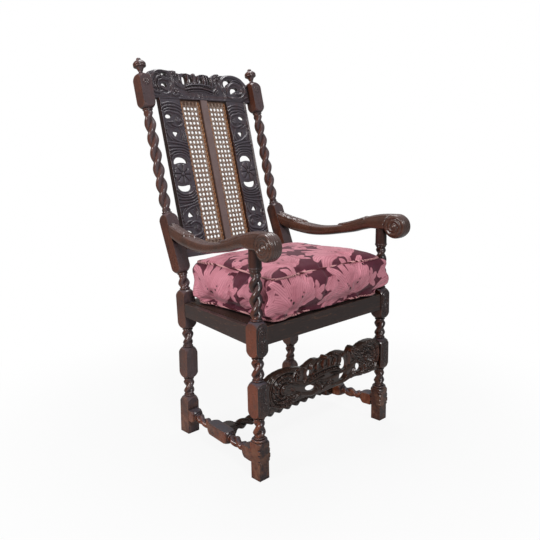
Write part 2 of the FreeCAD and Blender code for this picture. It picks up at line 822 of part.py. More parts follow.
def cane_binding(side):
    # Flat cane strips laid over the two long edges of a cane panel, behind the boards
    inner, outer, low, high = cane_box(side)
    depth = panel_front + panel_thick + cane_thick
    strips = []
    for edge in (inner - binding_width / 2, outer + binding_width / 2):
        x = side * edge - binding_width / 2
        strips.append(Part.makeBox(binding_width, binding_thick, high - low, V(x, depth, low)))
    return Part.Compound(strips)


def side_stretcher_ends(side):
    # Axis points of a side stretcher on the faces of the front foot and the rear leg
    leg_depth = rear_foot_depth + (rear_seat_low_depth - rear_foot_depth) * (
        stretcher_height / rear_seat_low_height)
    rear = V(side * rear_spread, leg_depth, stretcher_height)
    front = V(side * front_spread, 0, stretcher_height)
    along = (rear - front).normalize()
    return front + along * half / along.y, rear - along * half / along.y, along


def side_stretcher_tenons(side):
    front, rear, along = side_stretcher_ends(side)
    height = stretcher_stock - 2 * tenon_shoulder
    return [tenon(front, along * -1, up_z, height), tenon(rear, along, up_z, height)]


def side_stretcher(side):
    # Turned side stretcher: end blocks, a middle block and twists, laid from rear to front
    front, rear, along = side_stretcher_ends(side)
    length = (rear - front).Length
    past = overrun / 2
    across = V(along.y, -along.x, 0)
    solids = run(rear + along * past, front, across, [
        ("block", length * stretcher_rear_share + past,
         (stretcher_stock, stretcher_block_neck, 0, stretcher_shoulder)),
        ("bead", bead_length, stretcher_bead),
        ("twist", length * stretcher_rear_twist_share, stretcher_twist),
        ("bead", bead_length, stretcher_bead),
        ("block", length * stretcher_middle_share,
         (stretcher_stock, stretcher_block_neck, stretcher_shoulder, stretcher_shoulder)),
        ("bead", bead_length, stretcher_bead), ("twist", None, stretcher_twist),
        ("bead", bead_length, stretcher_bead),
        ("block", length * stretcher_front_share,
         (stretcher_stock, stretcher_block_neck, stretcher_shoulder, 0))])
    front_trim = Part.makeBox(stock * 2, stock, stock * 2,
                              V(front.x - stock, half - stock, stretcher_height - stock))
    body = joined(solids).cut([stock_prism(side, 0, 1), front_trim])
    body = max(body.Solids, key=lambda solid: solid.Volume)
    body = joined([body] + [tenon_solid(values) for values in side_stretcher_tenons(side)])
    return body.cut([mortise_solid(values) for values in cross_stretcher_tenons()])


def cross_half():
    # Half length of the cross stretcher between the middle blocks of the side stretchers
    front, rear, along = side_stretcher_ends(1)
    share = (cross_depth - front.y) / (rear.y - front.y)
    return front.x + (rear.x - front.x) * share - stretcher_stock / 2 / along.y


def cross_stretcher_tenons():
    return cross_tenons(cross_half(), cross_depth, stretcher_height,
                        stretcher_stock / 2)


def cross_stretcher():
    # Twisted stretcher between the two side stretchers
    reach = cross_half()
    body = joined(run(V(-reach - tenon_length, cross_depth, stretcher_height),
                      V(reach + tenon_length, cross_depth, stretcher_height), V(0, 1, 0), [
        ("block", tenon_length + stretcher_shoulder * 2,
         (stretcher_stock, stretcher_block_neck, 0, stretcher_shoulder)),
        ("bead", bead_length, stretcher_bead), ("twist", None, stretcher_twist),
        ("bead", bead_length, stretcher_bead),
        ("block", tenon_length + stretcher_shoulder * 2,
         (stretcher_stock, stretcher_block_neck, stretcher_shoulder, 0))]))
    for side in (-1, 1):
        front, rear, along = side_stretcher_ends(side)
        flank = bar(front, along, up_z, (rear - front).Length, stretcher_stock,
                    stretcher_stock + fit)
        outside = bar(front + V(side * stock, 0, 0), along, up_z, (rear - front).Length, 2 * stock,
                      2 * stock)
        body = body.cut([flank, outside])
    body = max(body.Solids, key=lambda solid: solid.Volume)
    return joined([body] + [tenon_solid(values) for values in cross_stretcher_tenons()])


def front_stretcher_tenons():
    depth = front_stretcher_front + front_stretcher_thick / 2
    middle = (front_low_block_bottom + front_low_block_top) / 2
    height = front_low_block_top - front_low_block_bottom - 2 * shoulder_length - 2 * tenon_shoulder
    return cross_tenons(front_inner, depth, middle, height)


def front_stretcher():
    # Pierced and carved front stretcher with a lobed upper edge
    rows = mirrored_outline(stretcher_outline_shares, front_inner, front_stretcher_low,
                            front_stretcher_height)
    lower = [(front_inner * u, front_stretcher_low + front_stretcher_height * v, 0)
             for u, v in stretcher_lower_shares]
    corner = front_stretcher_low
    rows += [(-front_inner, corner, 0)] + [(-x, z, b) for x, z, b in lower]
    rows += lower[::-1] + [(front_inner, corner, 0)]
    board = plate(rows, front_stretcher_front, front_stretcher_thick)
    board = pierced(board, stretcher_hole_shares, front_inner, front_stretcher_low,
                    front_stretcher_height, front_stretcher_front, front_stretcher_thick)
    return joined([board] + [tenon_solid(values) for values in front_stretcher_tenons()])


def cushion():
    # Box cushion with drawn-in sides and a crowned top, tapering to the rear
    bottom = rail_top + seat_cane_thick + soft_gap
    middle = (cushion_rear - cushion_front) / 2
    depth = (cushion_rear + cushion_front) / 2
    sections = []
    for scale, rise in cushion_section_shares:
        z = bottom + cushion_height * rise
        corners = [V(scale * x, middle + scale * y, z) for x, y in (
            (-cushion_front_half, -depth), (cushion_front_half, -depth),
            (cushion_rear_half, depth), (-cushion_rear_half, depth))]
        bows = (V(0, -cushion_bow, 0), V(0, 0, 0), V(0, cushion_bow, 0), V(0, 0, 0))
        edges = []
        for index, bow in enumerate(bows):
            a, b = corners[index], corners[(index + 1) % 4]
            if bow.Length:
                edges.append(Part.Arc(a, (a + b) / 2 + bow * scale, b).toShape())
            else:
                edges.append(Part.LineSegment(a, b).toShape())
        sections.append(Part.Wire(edges))
    return Part.makeLoft(sections, True, True)


def build():
    # All nodes of the chair by name
    nodes = {"seat_rail_front": cross_rail(front_inner, front_rail_tenons()),
             "seat_rail_rear": cross_rail(rear_inner, rear_rail_tenons()),
             "seat_cane": seat_cane(), "cushion": cushion(),
             "front_stretcher": front_stretcher(), "cross_stretcher": cross_stretcher(),
             "crest_rail": to_back(crest_rail()), "back_bottom_rail": to_back(bottom_rail()),
             "back_muntin": to_back(back_board(0.0, muntin_width))}
    back_tenons = crest_tenons() + bottom_rail_tenons()
    for side, word in ((-1, "left"), (1, "right")):
        front_cuts = [mortise_solid(values) for values in (
            front_rail_tenons() + front_stretcher_tenons() + side_rail_tenons(side)[:1]
            + side_stretcher_tenons(side)[:1])]
        rear_cuts = [mortise_solid(values) for values in (
            rear_rail_tenons() + side_rail_tenons(side)[1:] + side_stretcher_tenons(side)[1:]
            + [arm_tenon(side)])]
        rear_cuts += [to_back(mortise_solid(values)) for values in back_tenons]
        nodes["front_post_" + word] = hollowed(front_post(side), front_cuts)
        nodes["rear_post_" + word] = hollowed(rear_post(side), rear_cuts)
        nodes["arm_" + word] = arm(side)
        nodes["seat_rail_" + word] = side_rail(side)
        nodes["side_stretcher_" + word] = side_stretcher(side)
        nodes["back_splat_" + word] = to_back(splat(side))
        nodes["cane_panel_" + word] = to_back(cane_panel(side))
        nodes["cane_binding_" + word] = to_back(cane_binding(side))
    return nodes


def centred(nodes):
    # Moves the chair so that the middle of its box stands over the origin
    box = Part.Compound(list(nodes.values())).optimalBoundingBox(False, False)
    shift = V(-(box.XMin + box.XMax) / 2, -(box.YMin + box.YMax) / 2, -box.ZMin)
    for shape in nodes.values():
        shape.translate(shift)
    return nodes


os.makedirs("parts", exist_ok=True)
for name, shape in centred(build()).items():
    state = "valid" if shape.isValid() else "not valid"
    print(name, state, len(shape.Solids), "solids", round(shape.Volume), "mm3")
    shape.exportStep(os.path.join("parts", name + ".step"))
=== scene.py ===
import math
import bmesh
import bpy
import numpy as np
from mathutils import Matrix, Vector


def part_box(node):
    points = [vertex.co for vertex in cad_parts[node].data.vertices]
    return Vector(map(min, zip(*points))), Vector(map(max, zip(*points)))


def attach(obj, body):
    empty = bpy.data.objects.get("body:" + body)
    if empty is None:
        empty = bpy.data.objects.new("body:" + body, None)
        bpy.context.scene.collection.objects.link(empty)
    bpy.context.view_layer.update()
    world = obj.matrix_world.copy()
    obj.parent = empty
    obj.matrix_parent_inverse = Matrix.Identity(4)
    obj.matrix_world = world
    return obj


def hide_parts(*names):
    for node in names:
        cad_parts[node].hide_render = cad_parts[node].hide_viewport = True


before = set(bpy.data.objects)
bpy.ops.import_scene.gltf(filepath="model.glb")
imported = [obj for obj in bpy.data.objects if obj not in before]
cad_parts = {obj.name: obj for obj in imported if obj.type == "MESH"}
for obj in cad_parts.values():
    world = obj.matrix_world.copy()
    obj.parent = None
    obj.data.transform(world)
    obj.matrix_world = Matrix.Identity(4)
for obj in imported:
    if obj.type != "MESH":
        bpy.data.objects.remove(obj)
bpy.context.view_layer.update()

mm = 0.001
sides = (("left", -1), ("right", 1))
postLow, postHigh = (np.array(corner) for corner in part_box("front_post_left"))
frontAxis = (postLow[1] + postHigh[1]) / 2   # depth of the front posts
frontSpread = -(postLow[0] + postHigh[0]) / 2   # half distance between their axes
stock = postHigh[0] - postLow[0]   # side of the square timber
buildLine = np.array([0, frontAxis, 0])   # depths in millimetres are counted from here

# The raked plane of the back: its lean and the point on the post axis where the rake starts
backPlane = {"lean": math.atan2(123.5, 514.0), "depth": frontAxis + 486 * mm, "height": 756 * mm}


def toBack(points):
    # x across, y to the rear and z up the board are turned by the lean about the rake's start
    points = np.asarray(points, float)
    c, s = math.cos(backPlane["lean"]), math.sin(backPlane["lean"])
    x, y, z = points[..., 0], points[..., 1], points[..., 2]
    return np.stack([x, backPlane["depth"] + y * c + z * s, backPlane["height"] - y * s + z * c], -1)


def betweenPosts(points):
    # Upright plane of the front stretcher: y is measured from the axes of the front posts
    return np.asarray(points) + buildLine


# Mesh making

def addObject(name, data):
    # Links an object that shows the data to the scene
    item = bpy.data.objects.new(name, data)
    bpy.context.scene.collection.objects.link(item)
    return item


def makeMesh(name, points, faces):
    # A mesh from an array of points in metres and a list of face index arrays
    polygons = [face for group in faces for face in np.asarray(group).tolist()]
    mesh = bpy.data.meshes.new(name)
    mesh.from_pydata(np.asarray(points, float).reshape(-1, 3).tolist(), [], polygons)
    mesh.update()
    return mesh


def addMesh(name, points, faces, material, body="chair", smooth=True):
    # One piece with its material, which rides on a body
    mesh = makeMesh(name, points, faces)
    mesh.materials.append(material)
    mesh.polygons.foreach_set("use_smooth", [smooth] * len(mesh.polygons))
    piece = addObject(name, mesh)
    if body:
        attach(piece, body)
    return piece


def readAll(items, key, width=3, kind=float):
    # One property of all points, normals or corners of a mesh, a row for each
    values = np.empty(len(items) * width, kind)
    items.foreach_get(key, values)
    return values.reshape(-1, width)


def gridFaces(rows, columns, wrapRows=False, wrapColumns=False, start=0):
    # Quads between the neighbours of a grid, rows first
    i = np.arange(rows if wrapRows else rows - 1)
    j = np.arange(columns if wrapColumns else columns - 1)
    i, j = np.meshgrid(i, j, indexing="ij")
    i2, j2 = (i + 1) % rows, (j + 1) % columns
    quads = np.stack([i * columns + j, i2 * columns + j, i2 * columns + j2, i * columns + j2], -1)
    return quads.reshape(-1, 4) + start


def ringMesh(grids):
    # Points and faces of grids of closed rings (ring, place on it, xyz), capped at both ends
    points, faces, start = [], [], 0
    for grid in grids:
        rows, columns = grid.shape[:2]
        ends = np.array([np.arange(columns), np.arange(columns)[::-1] + (rows - 1) * columns])
        faces += [gridFaces(rows, columns, wrapColumns=True, start=start), ends + start]
        points.append(grid.reshape(-1, 3))
        start += rows * columns
    return np.vstack(points), faces


def circle(count):
    # Cosines and sines of places spread evenly round a circle
    angle = np.linspace(0, 2 * np.pi, count, endpoint=False)
    return np.cos(angle), np.sin(angle)


def tidyMesh(piece, merge=0.0):
    # Merges doubles and turns the faces of closed shells outwards
    shell = bmesh.new()
    shell.from_mesh(piece.data)
    if merge:
        bmesh.ops.remove_doubles(shell, verts=shell.verts, dist=merge)
    bmesh.ops.recalc_face_normals(shell, faces=shell.faces)
    shell.to_mesh(piece.data)
    shell.free()
    return piece


def smoothPath(points, count):
    # Catmull-Rom curve through the points, count samples a span
    p = np.asarray(points, float)
    p = np.vstack([2 * p[0] - p[1], p, 2 * p[-1] - p[-2]])
    t = np.linspace(0, 1, count, endpoint=False)[:, None]
    spans = []
    for a, b, c, d in zip(p[:-3], p[1:-2], p[2:-1], p[3:]):
        spans.append(0.5 * (2 * b + (c - a) * t + (2 * a - 5 * b + 4 * c - d) * t ** 2
                            + (3 * b - a - 3 * c + d) * t ** 3))
    return np.vstack(spans + [p[-2:-1]])


def soften(t):
    # 0 up to 0 and 1 from 1, with a smooth rise between them
    t = np.clip(t, 0, 1)
    return t * t * (3 - 2 * t)


def runLength(path):
    # Length along a path up to each of its points
    return np.concatenate([[0], np.cumsum(np.hypot(*np.diff(path, axis=0).T))])


def toSegment(x, z, a, b):
    # For places x, z: the share of the way from a to b where it is nearest, and the gap to there
    way = b - a
    t = np.clip(((x - a[0]) * way[0] + (z - a[1]) * way[1]) / max(way @ way, 1e-9), 0, 1)
    return t, x - a[0] - t * way[0], z - a[1] - t * way[1]


def sideOf(a, b, dx, dz):
    # 1 to the left of the way from a to b and -1 to its right
    return np.sign((b[0] - a[0]) * dz - (b[1] - a[1]) * dx)


def within(x, z, low, high):
    # True for the places inside a box
    return (x > low[0]) & (x < high[0]) & (z > low[1]) & (z < high[1])


# Carving: heights in millimetres worked out over the plane of a board

class Relief:
    # Height field over arrays of x and z: ridges, domes, leaves and roses raised from the ground

    def __init__(self, x, z):
        self.x, self.z = x, z
        self.height = np.zeros_like(x)

    def ridge(self, path, width, height, groove=False, power=0.5, reeds=0, curve=True):
        # height * (1 - (distance to the path / half width)^2)^power, where the nearest stretch of
        # the path counts; reeds are cosine waves across the ridge
        path = smoothPath(path, 6) if curve and len(path) > 2 else np.asarray(path, float)
        share = np.linspace(0, 1, len(path))
        width = np.interp(share, np.linspace(0, 1, np.size(width)), np.atleast_1d(width))
        pick = within(self.x, self.z, path.min(0) - width.max(), path.max(0) + width.max())
        x, z = self.x[pick], self.z[pick]
        best, offset = np.full(x.shape, 9.0), np.zeros(x.shape)
        for a, b, wa, wb in zip(path[:-1], path[1:], width[:-1], width[1:]):
            t, dx, dz = toSegment(x, z, a, b)
            gap = (dx ** 2 + dz ** 2) / (wa + (wb - wa) * t) ** 2
            near = gap < best
            best = np.where(near, gap, best)
            if reeds:
                offset = np.where(near, sideOf(a, b, dx, dz) * np.sqrt(gap), offset)
        value = height * np.clip(1 - best, 0, 1) ** power
        if reeds:
            value *= 0.84 + 0.16 * np.cos(np.pi * reeds * (offset + 1))
        self.height[pick] = self.height[pick] - value if groove else np.maximum(self.height[pick], value)

    def dome(self, centre, across, up, height):
        # Ellipsoid cap
        r = ((self.x - centre[0]) / across) ** 2 + ((self.z - centre[1]) / up) ** 2
        self.height = np.maximum(self.height, height * np.sqrt(np.clip(1 - r, 0, 1)))

    def rose(self, centre, radius, height, petals=8, button=0.2, turn=0.0, squash=1.0):
        # Petals follow |cos| of the angle, hollowed towards the middle, with a round button
        dx, dz = (self.x - centre[0]) / squash, self.z - centre[1]
        r = np.hypot(dx, dz) / radius
        petal = np.abs(np.cos((np.arctan2(dz, dx) + turn) * petals / 2)) ** 0.55
        body = np.clip(1 - (r / (0.88 + 0.12 * petal)) ** 5, 0, 1) ** 0.5
        form = height * body * (0.42 + 0.58 * petal) * (0.5 + 0.5 * np.clip(r * 1.3, 0, 1))
        cap = height * (0.7 + 0.45 * np.sqrt(np.clip(1 - (r / button) ** 2, 0, 1)))
        form = np.where(r < button, cap, np.where(r < button * 1.35, height * 0.25, form))
        self.height = np.where(r < 1, form, self.height)

    def leaf(self, path, width, height, lobes=5):
        # Ridge with a lobed outline, a sunk middle vein and slanted side veins
        path = smoothPath(path, 8)
        t = np.linspace(0, 1, len(path))
        outline = np.sin(np.pi * np.clip(t * 0.94 + 0.04, 0, 1)) ** 0.6
        outline = width * outline * (1 + 0.25 * np.cos(2 * np.pi * lobes * t))
        self.ridge(path, np.maximum(outline, width * 0.12), height, power=0.6, curve=False)
        self.ridge(path, width * 0.15, height * 0.4, groove=True, power=1, curve=False)
        way = np.gradient(path, axis=0)
        way /= np.linalg.norm(way, axis=1)[:, None]
        normal = np.stack([-way[:, 1], way[:, 0]], -1)
        for k in (np.arange(lobes) + 0.5) / lobes:
            i = int(k * (len(path) - 1))
            for side in (-1, 1):
                tip = path[i] + (way[i] * 0.8 + side * normal[i]) * width * 0.9
                self.ridge([path[i], tip], width * 0.1, height * 0.3, groove=True, power=1)

    def draw(self, carving):
        # All the rows of one ornament dictionary; wide ridges get two reeds
        for path, width, height in carving.get("ridges", ()):
            self.ridge(path, width, height, reeds=2 if np.max(width) > 5 else 0)
        for path, width, height in carving.get("leaves", ()):
            self.leaf(path, width, height)
        for centre, across, up, height in carving.get("domes", ()):
            self.dome(centre, across, up, height)
        for centre, radius, height, petals in carving.get("roses", ()):
            self.rose(centre, radius, height, petals)
        for path, width, depth in carving.get("grooves", ()):
            self.ridge(path, width, depth, groove=True, power=1)
        return self.height


def loopDistance(x, z, loop, curve=True):
    # Distance to a closed loop of points, positive inside by the even-odd rule
    loop = np.asarray(loop, float)
    if curve:
        count = len(loop)
        loop = smoothPath(np.vstack([loop[-2:], loop, loop[:3]]), 5)[10:10 + 5 * count]
    best, inside = np.full(x.shape, 1e9), np.zeros(x.shape, bool)
    for a, b in zip(loop, np.roll(loop, -1, 0)):
        t, dx, dz = toSegment(x, z, a, b)
        best = np.minimum(best, dx ** 2 + dz ** 2)
        if a[1] != b[1]:
            cross = a[0] + (z - a[1]) * (b[0] - a[0]) / (b[1] - a[1])
            inside ^= ((a[1] > z) != (b[1] > z)) & (x < cross)
    return np.where(inside, 1, -1) * np.sqrt(best)


def drawnIn(spec):
    # The board's hole loops, each shrunk about its middle by its share
    loops = [np.asarray(loop, float) for loop in spec["holes"]]
    return [loop.mean(0) + (loop - loop.mean(0)) * share for loop, share in zip(loops, spec["shares"])]


def rimEdges(framed, index):
    # Point pairs of the edges between a cell inside and one outside, in the direction in which
    # the cell inside uses them; framed holds the cells with a border of outside ones
    edges = []
    for after, before, start, end in ((framed[1:-1, 1:], framed[1:-1, :-1], (0, 0), (1, 0)),
                                      (framed[1:, 1:-1], framed[:-1, 1:-1], (0, 1), (0, 0))):
        for inside, outside, a, b in ((after, before, start, end), (before, after, end, start)):
            i, j = np.nonzero(inside & ~outside)
            edges.append(np.stack([index[i + a[0], j + a[1]], index[i + b[0], j + b[1]]], -1))
    return np.vstack(edges)


def carvedBoard(name, spec, relief, place, material):
    # A pierced board from its outline and hole loops in millimetres. Cells inside make the front,
    # and the points on their rim are pulled on to the loops. The front rises by the relief and is
    # rounded near every edge; the back is flat and each hole opens wider there by the undercut.
    step, r = spec["step"], spec["round"]
    corners = np.asarray(spec["outline"], float)
    low, high = corners.min(0) - 2 * step, corners.max(0) + 2 * step
    x, z = np.meshgrid(*(np.arange(low[k], high[k], step) for k in (0, 1)), indexing="ij")

    def distances(x, z):
        holes = np.full(x.shape, 1e9)
        for loop in spec["holes"]:
            holes = np.minimum(holes, -loopDistance(x, z, loop))
        return loopDistance(x, z, corners, False), holes

    outer, holes = distances(x, z)
    d = np.minimum(outer, holes)
    cells = (d[:-1, :-1] + d[1:, :-1] + d[1:, 1:] + d[:-1, 1:]) > 0
    framed = np.pad(cells, 1)
    around = framed[:-1, :-1].astype(int) + framed[1:, :-1] + framed[1:, 1:] + framed[:-1, 1:]
    used, rim = around > 0, (around > 0) & (around < 4)
    slope = np.stack(np.gradient(d, step), -1)
    slope /= np.maximum(np.hypot(slope[..., 0], slope[..., 1]), 0.5)[..., None]
    pull = np.where(rim, np.clip(d, -step, step), 0)
    x, z = x - pull * slope[..., 0], z - pull * slope[..., 1]
    outerNow, holesNow = distances(x, z)
    if not spec.get("roundEnds", True):
        outerNow = np.maximum(outerNow, r)
    d = np.maximum(np.minimum(outerNow, holesNow), 0)
    fall = np.where(d < r, r - np.sqrt(np.maximum(r * r - (r - d) ** 2, 0)), 0)
    height = relief(x, z) * np.sqrt(np.clip(d / r, 0, 1)) - fall * 0.5
    index = np.full(x.shape, -1)
    index[used] = np.arange(used.sum())
    front = np.stack([x, spec["ground"] - height, z], -1)[used]
    quads = np.stack([index[:-1, :-1], index[1:, :-1], index[1:, 1:], index[:-1, 1:]], -1)[cells]
    edges = rimEdges(framed, index)
    rimPoints, inverse = np.unique(edges, return_inverse=True)
    inverse = inverse.reshape(edges.shape)
    back = front[rimPoints].copy()
    widen = np.where((holes < outer)[used], spec["undercut"], 0)[rimPoints]
    back[:, [0, 2]] += slope[used][rimPoints] * widen[:, None]
    back[:, 1] = spec["back"]
    base = len(front)
    walls = np.stack([edges[:, 1], edges[:, 0], base + inverse[:, 0], base + inverse[:, 1]], -1)
    piece = addMesh(name, place(np.vstack([front, back]) * mm), [quads, walls], material)
    shell = bmesh.new()
    shell.from_mesh(piece.data)
    openEdges = [edge for edge in shell.edges if edge.is_boundary]
    bmesh.ops.triangle_fill(shell, edges=openEdges, use_beauty=True, use_dissolve=False)
    bmesh.ops.recalc_face_normals(shell, faces=shell.faces)
    for face in shell.faces:
        face.smooth = len(face.verts) == 4 and all(vert.index < base for vert in face.verts)
    shell.to_mesh(piece.data)
    shell.free()
    print("carved", name, len(piece.data.polygons), "faces")
    return piece


# Materials

class Nodes:
    # One material and its nodes. Every input is a number or another node's socket.

    def __init__(self, name, roughness=0.45, coat=0.0, coatRoughness=0.2, sheen=0.0,
                 sheenRoughness=0.5, specular=0.5):
        self.material = bpy.data.materials.new(name)
        self.material.use_nodes = True
        self.tree = self.material.node_tree
        self.shader = self.tree.nodes["Principled BSDF"]
        self.shader.inputs["Roughness"].default_value = roughness
        self.shader.inputs["Coat Weight"].default_value = coat
        self.shader.inputs["Coat Roughness"].default_value = coatRoughness
        self.shader.inputs["Sheen Weight"].default_value = sheen
        self.shader.inputs["Sheen Roughness"].default_value = sheenRoughness
        self.shader.inputs["Specular IOR Level"].default_value = specular

    def add(self, kind, inputs=None, **values):
        # One node: its settings by name and its inputs by name or number
        node = self.tree.nodes.new(kind)
        for key, value in values.items():
            setattr(node, key, value)
        for key, value in (inputs or {}).items():
            if isinstance(value, bpy.types.NodeSocket):
                self.tree.links.new(value, node.inputs[key])
            else:
                node.inputs[key].default_value = value
        return node

    def maths(self, operation, *values, clamp=False):
        return self.add("ShaderNodeMath", dict(enumerate(values)), operation=operation,
                        use_clamp=clamp).outputs[0]

    def times(self, a, b, clamp=False):
        return self.maths("MULTIPLY", a, b, clamp=clamp)

    def plus(self, a, b):
        return self.maths("ADD", a, b)

    def less(self, a, b):
        return self.maths("SUBTRACT", a, b)

    def ramp(self, factor, low, high):
        # 0 below low and 1 above high
        return self.add("ShaderNodeMapRange", {"Value": factor, "From Min": low, "From Max": high},
                        interpolation_type="SMOOTHSTEP").outputs[0]

    def mix(self, factor, a, b):
        return self.add("ShaderNodeMix", {0: factor, 6: a, 7: b}, data_type="RGBA").outputs[2]

    def coords(self, scale=(1, 1, 1)):
        # Place in the object, stretched along an axis whose scale is small
        place = self.add("ShaderNodeTexCoord").outputs["Object"]
        return self.add("ShaderNodeMapping", {"Vector": place, "Scale": scale}).outputs[0]

    def parts(self, key):
        # The x, y and z of a texture coordinate
        place = self.add("ShaderNodeTexCoord").outputs[key]
        return self.add("ShaderNodeSeparateXYZ", {0: place}).outputs

    def noise(self, vector, scale, detail=4.0, roughness=0.55, distortion=0.0):
        inputs = {"Vector": vector, "Scale": scale, "Detail": detail, "Roughness": roughness,
                  "Distortion": distortion}
        return self.add("ShaderNodeTexNoise", inputs).outputs["Fac"]

    def finish(self, colour, height, strength, distance, roughness=None):
        # Links the colour, the bump and, where it varies, the roughness to the shader
        bump = self.add("ShaderNodeBump", {"Height": height, "Strength": strength, "Distance": distance})
        for socket, key in ((colour, "Base Color"), (bump.outputs[0], "Normal"), (roughness, "Roughness")):
            if socket is not None:
                self.tree.links.new(socket, self.shader.inputs[key])
        return self.material


# The crevice tone is the painted shade of the hollows, and also the colour of the grain's pores.
# The paintedSheen tone is a painted reflection: the grey of the white surroundings in the polish.
oakTones = {
    "dark": (0.016, 0.009, 0.008, 1), "paintedSheen": (0.105, 0.094, 0.116, 1), "red": (0.150, 0.032, 0.010, 1),
    "worn": (0.27, 0.115, 0.06, 1), "crevice": (0.005, 0.003, 0.003, 1)}
# Scales of the noises, then radii and heights in metres
oakGrain = {"stretch": 0.05, "fibre": 700, "streak": 90, "blotch": 14, "rub": 45, "scuff": 30, "score": 260,
            "arris": 0.0022, "hollowShade": 0.014, "fade": (0.38, 0.66), "foot": (0.02, 0.30), "bump": 0.0006}


def oak(name, grain, tones=oakTones, paintedSheen=0.8, red=0.3, wear=0.8, crevice=0.95, roughness=0.36,
        coat=0.25, footWear=0.0, front=0.75, scored=0.06, highFade=0.0):
    # Dark oak. Grain noise is stretched along one axis; faces turned forwards or up carry a grey
    # painted sheen, the white surroundings mirrored in the polish; faces turned sideways show red-brown,
    # partly worn wood and partly painted light on the sides, which may fade with height; arrises and feet
    # are worn light and hollows get painted shade.
    wood = Nodes(name, roughness, coat, 0.14, specular=0.28)
    fine = wood.coords([oakGrain["stretch"] if axis == grain else 1.0 for axis in "xyz"])
    plain = wood.coords()
    fibre = wood.noise(fine, oakGrain["fibre"], 5, 0.6)
    streak = wood.noise(fine, oakGrain["streak"], 4, 0.6, 0.6)
    blotch = wood.noise(plain, oakGrain["blotch"], 4, 0.6)
    normal, place = wood.parts("Normal"), wood.parts("Object")
    sideways = wood.ramp(wood.maths("ABSOLUTE", normal[0]), 0.35, 0.95)
    upward = wood.ramp(normal[2], 0.1, 0.95)
    forward = wood.ramp(wood.maths("ABSOLUTE", normal[1]), 0.3, 0.95)
    # Painted reflection: the grey sheen lies on faces turned up and, by the share front, on faces turned
    # forwards.
    sheenFaces = wood.maths("MAXIMUM", upward, wood.times(forward, front))
    sheenFaces = wood.times(sheenFaces, wood.maths("MULTIPLY_ADD", blotch, 0.8, 0.6))
    base = wood.mix(wood.times(sheenFaces, paintedSheen, True), tones["dark"], tones["paintedSheen"])
    # Painted light and wear: sideways faces take the red-brown, partly worn wood and partly light falling on
    # the sides; highFade lessens it with height.
    faded = wood.times(wood.ramp(place[2], *oakGrain["fade"]), highFade)
    wornAndLitSides = wood.times(wood.times(sideways, wood.ramp(blotch, 0.2, 0.6)), wood.less(1.0, faded))
    base = wood.mix(wood.times(wornAndLitSides, red, True), base, tones["red"])
    base = wood.mix(wood.times(wood.ramp(streak, 0.45, 0.75), 0.22), base, tones["red"])
    bevel = wood.add("ShaderNodeBevel", {"Radius": oakGrain["arris"]}, samples=4).outputs[0]
    flat = wood.add("ShaderNodeNewGeometry").outputs["Normal"]
    turned = wood.add("ShaderNodeVectorMath", {0: bevel, 1: flat}, operation="DOT_PRODUCT").outputs["Value"]
    rub = wood.ramp(wood.noise(plain, oakGrain["rub"], 3, 0.6), 0.35, 0.62)
    edge = wood.times(wood.ramp(wood.less(1.0, turned), 0.02, 0.16), rub)
    edge = wood.times(edge, wear, True)
    if footWear:
        low = wood.less(1.0, wood.ramp(place[2], *oakGrain["foot"]))
        scuff = wood.times(low, wood.ramp(wood.noise(plain, oakGrain["scuff"], 5, 0.65), 0.42, 0.7))
        edge = wood.maths("MAXIMUM", edge, wood.times(scuff, footWear))
    base = wood.mix(edge, base, tones["worn"])
    # Painted shade: an occlusion mask darkens the hollows of the carving and the recesses between parts.
    hollowShade = wood.add("ShaderNodeAmbientOcclusion", {"Distance": oakGrain["hollowShade"]}, samples=4).outputs["AO"]
    dark = wood.times(wood.less(1.0, wood.ramp(hollowShade, 0.35, 0.9)), crevice)
    base = wood.mix(dark, base, tones["crevice"])
    score = wood.ramp(wood.noise(fine, oakGrain["score"], 3, 0.7, 1.2), 0.60, 0.68)
    base = wood.mix(wood.times(score, scored), base, tones["worn"])
    base = wood.mix(0.35, base, wood.mix(wood.ramp(fibre, 0.3, 0.7), tones["crevice"], base))
    height = wood.plus(wood.times(fibre, 0.5), streak)
    rough = wood.maths("MULTIPLY_ADD", blotch, 0.35, roughness - 0.17)
    return wood.finish(base, height, 0.25, oakGrain["bump"], rough)


def cane(name, dark, light, patch):
    # Aged cane: fine spots and wide patches of other tones, with a slight gloss
    reed = Nodes(name, 0.5, 0.1, 0.3)
    plain = reed.coords()
    spots = reed.noise(plain, 260, 4, 0.6)
    patches = reed.noise(plain, 30, 3, 0.6)
    base = reed.mix(reed.ramp(spots, 0.3, 0.7), dark, light)
    base = reed.mix(reed.ramp(patches, 0.45, 0.7), base, patch)
    return reed.finish(base, spots, 0.3, 0.0004)


postOak = oak("postOak", "z", red=1.0, roughness=0.25, footWear=0.6, front=0.12, highFade=0.75)
# Painted shade: a darker copy of the post oak for the right front post and the carved block faces, darker
# because of how the light falls on them.
shadedPostOak = oak("shadedPostOak", "z", paintedSheen=0.6, red=0.4, roughness=0.24, coat=0.3, footWear=0.6, front=0.1,
                  highFade=0.5)
backPostTones = dict(oakTones, dark=(0.030, 0.015, 0.013, 1), paintedSheen=(0.125, 0.090, 0.098, 1),
                     red=(0.135, 0.038, 0.018, 1))
backPostOak = oak("backPostOak", "z", backPostTones, 0.95, 0.65, roughness=0.25, footWear=0.6, front=0.7)
crestOak = oak("crestOak", "x", paintedSheen=0.95, red=0.25, wear=0.35, coat=0.35)
splatOak = oak("splatOak", "z", paintedSheen=1.0, red=0.2, wear=0.45, coat=0.3)
stretcherTones = dict(oakTones, dark=(0.022, 0.011, 0.007, 1), paintedSheen=(0.085, 0.055, 0.045, 1))
stretcherOak = oak("stretcherOak", "x", stretcherTones, 0.4, 0.6, 1.0, roughness=0.19, coat=0.5, front=0.2)
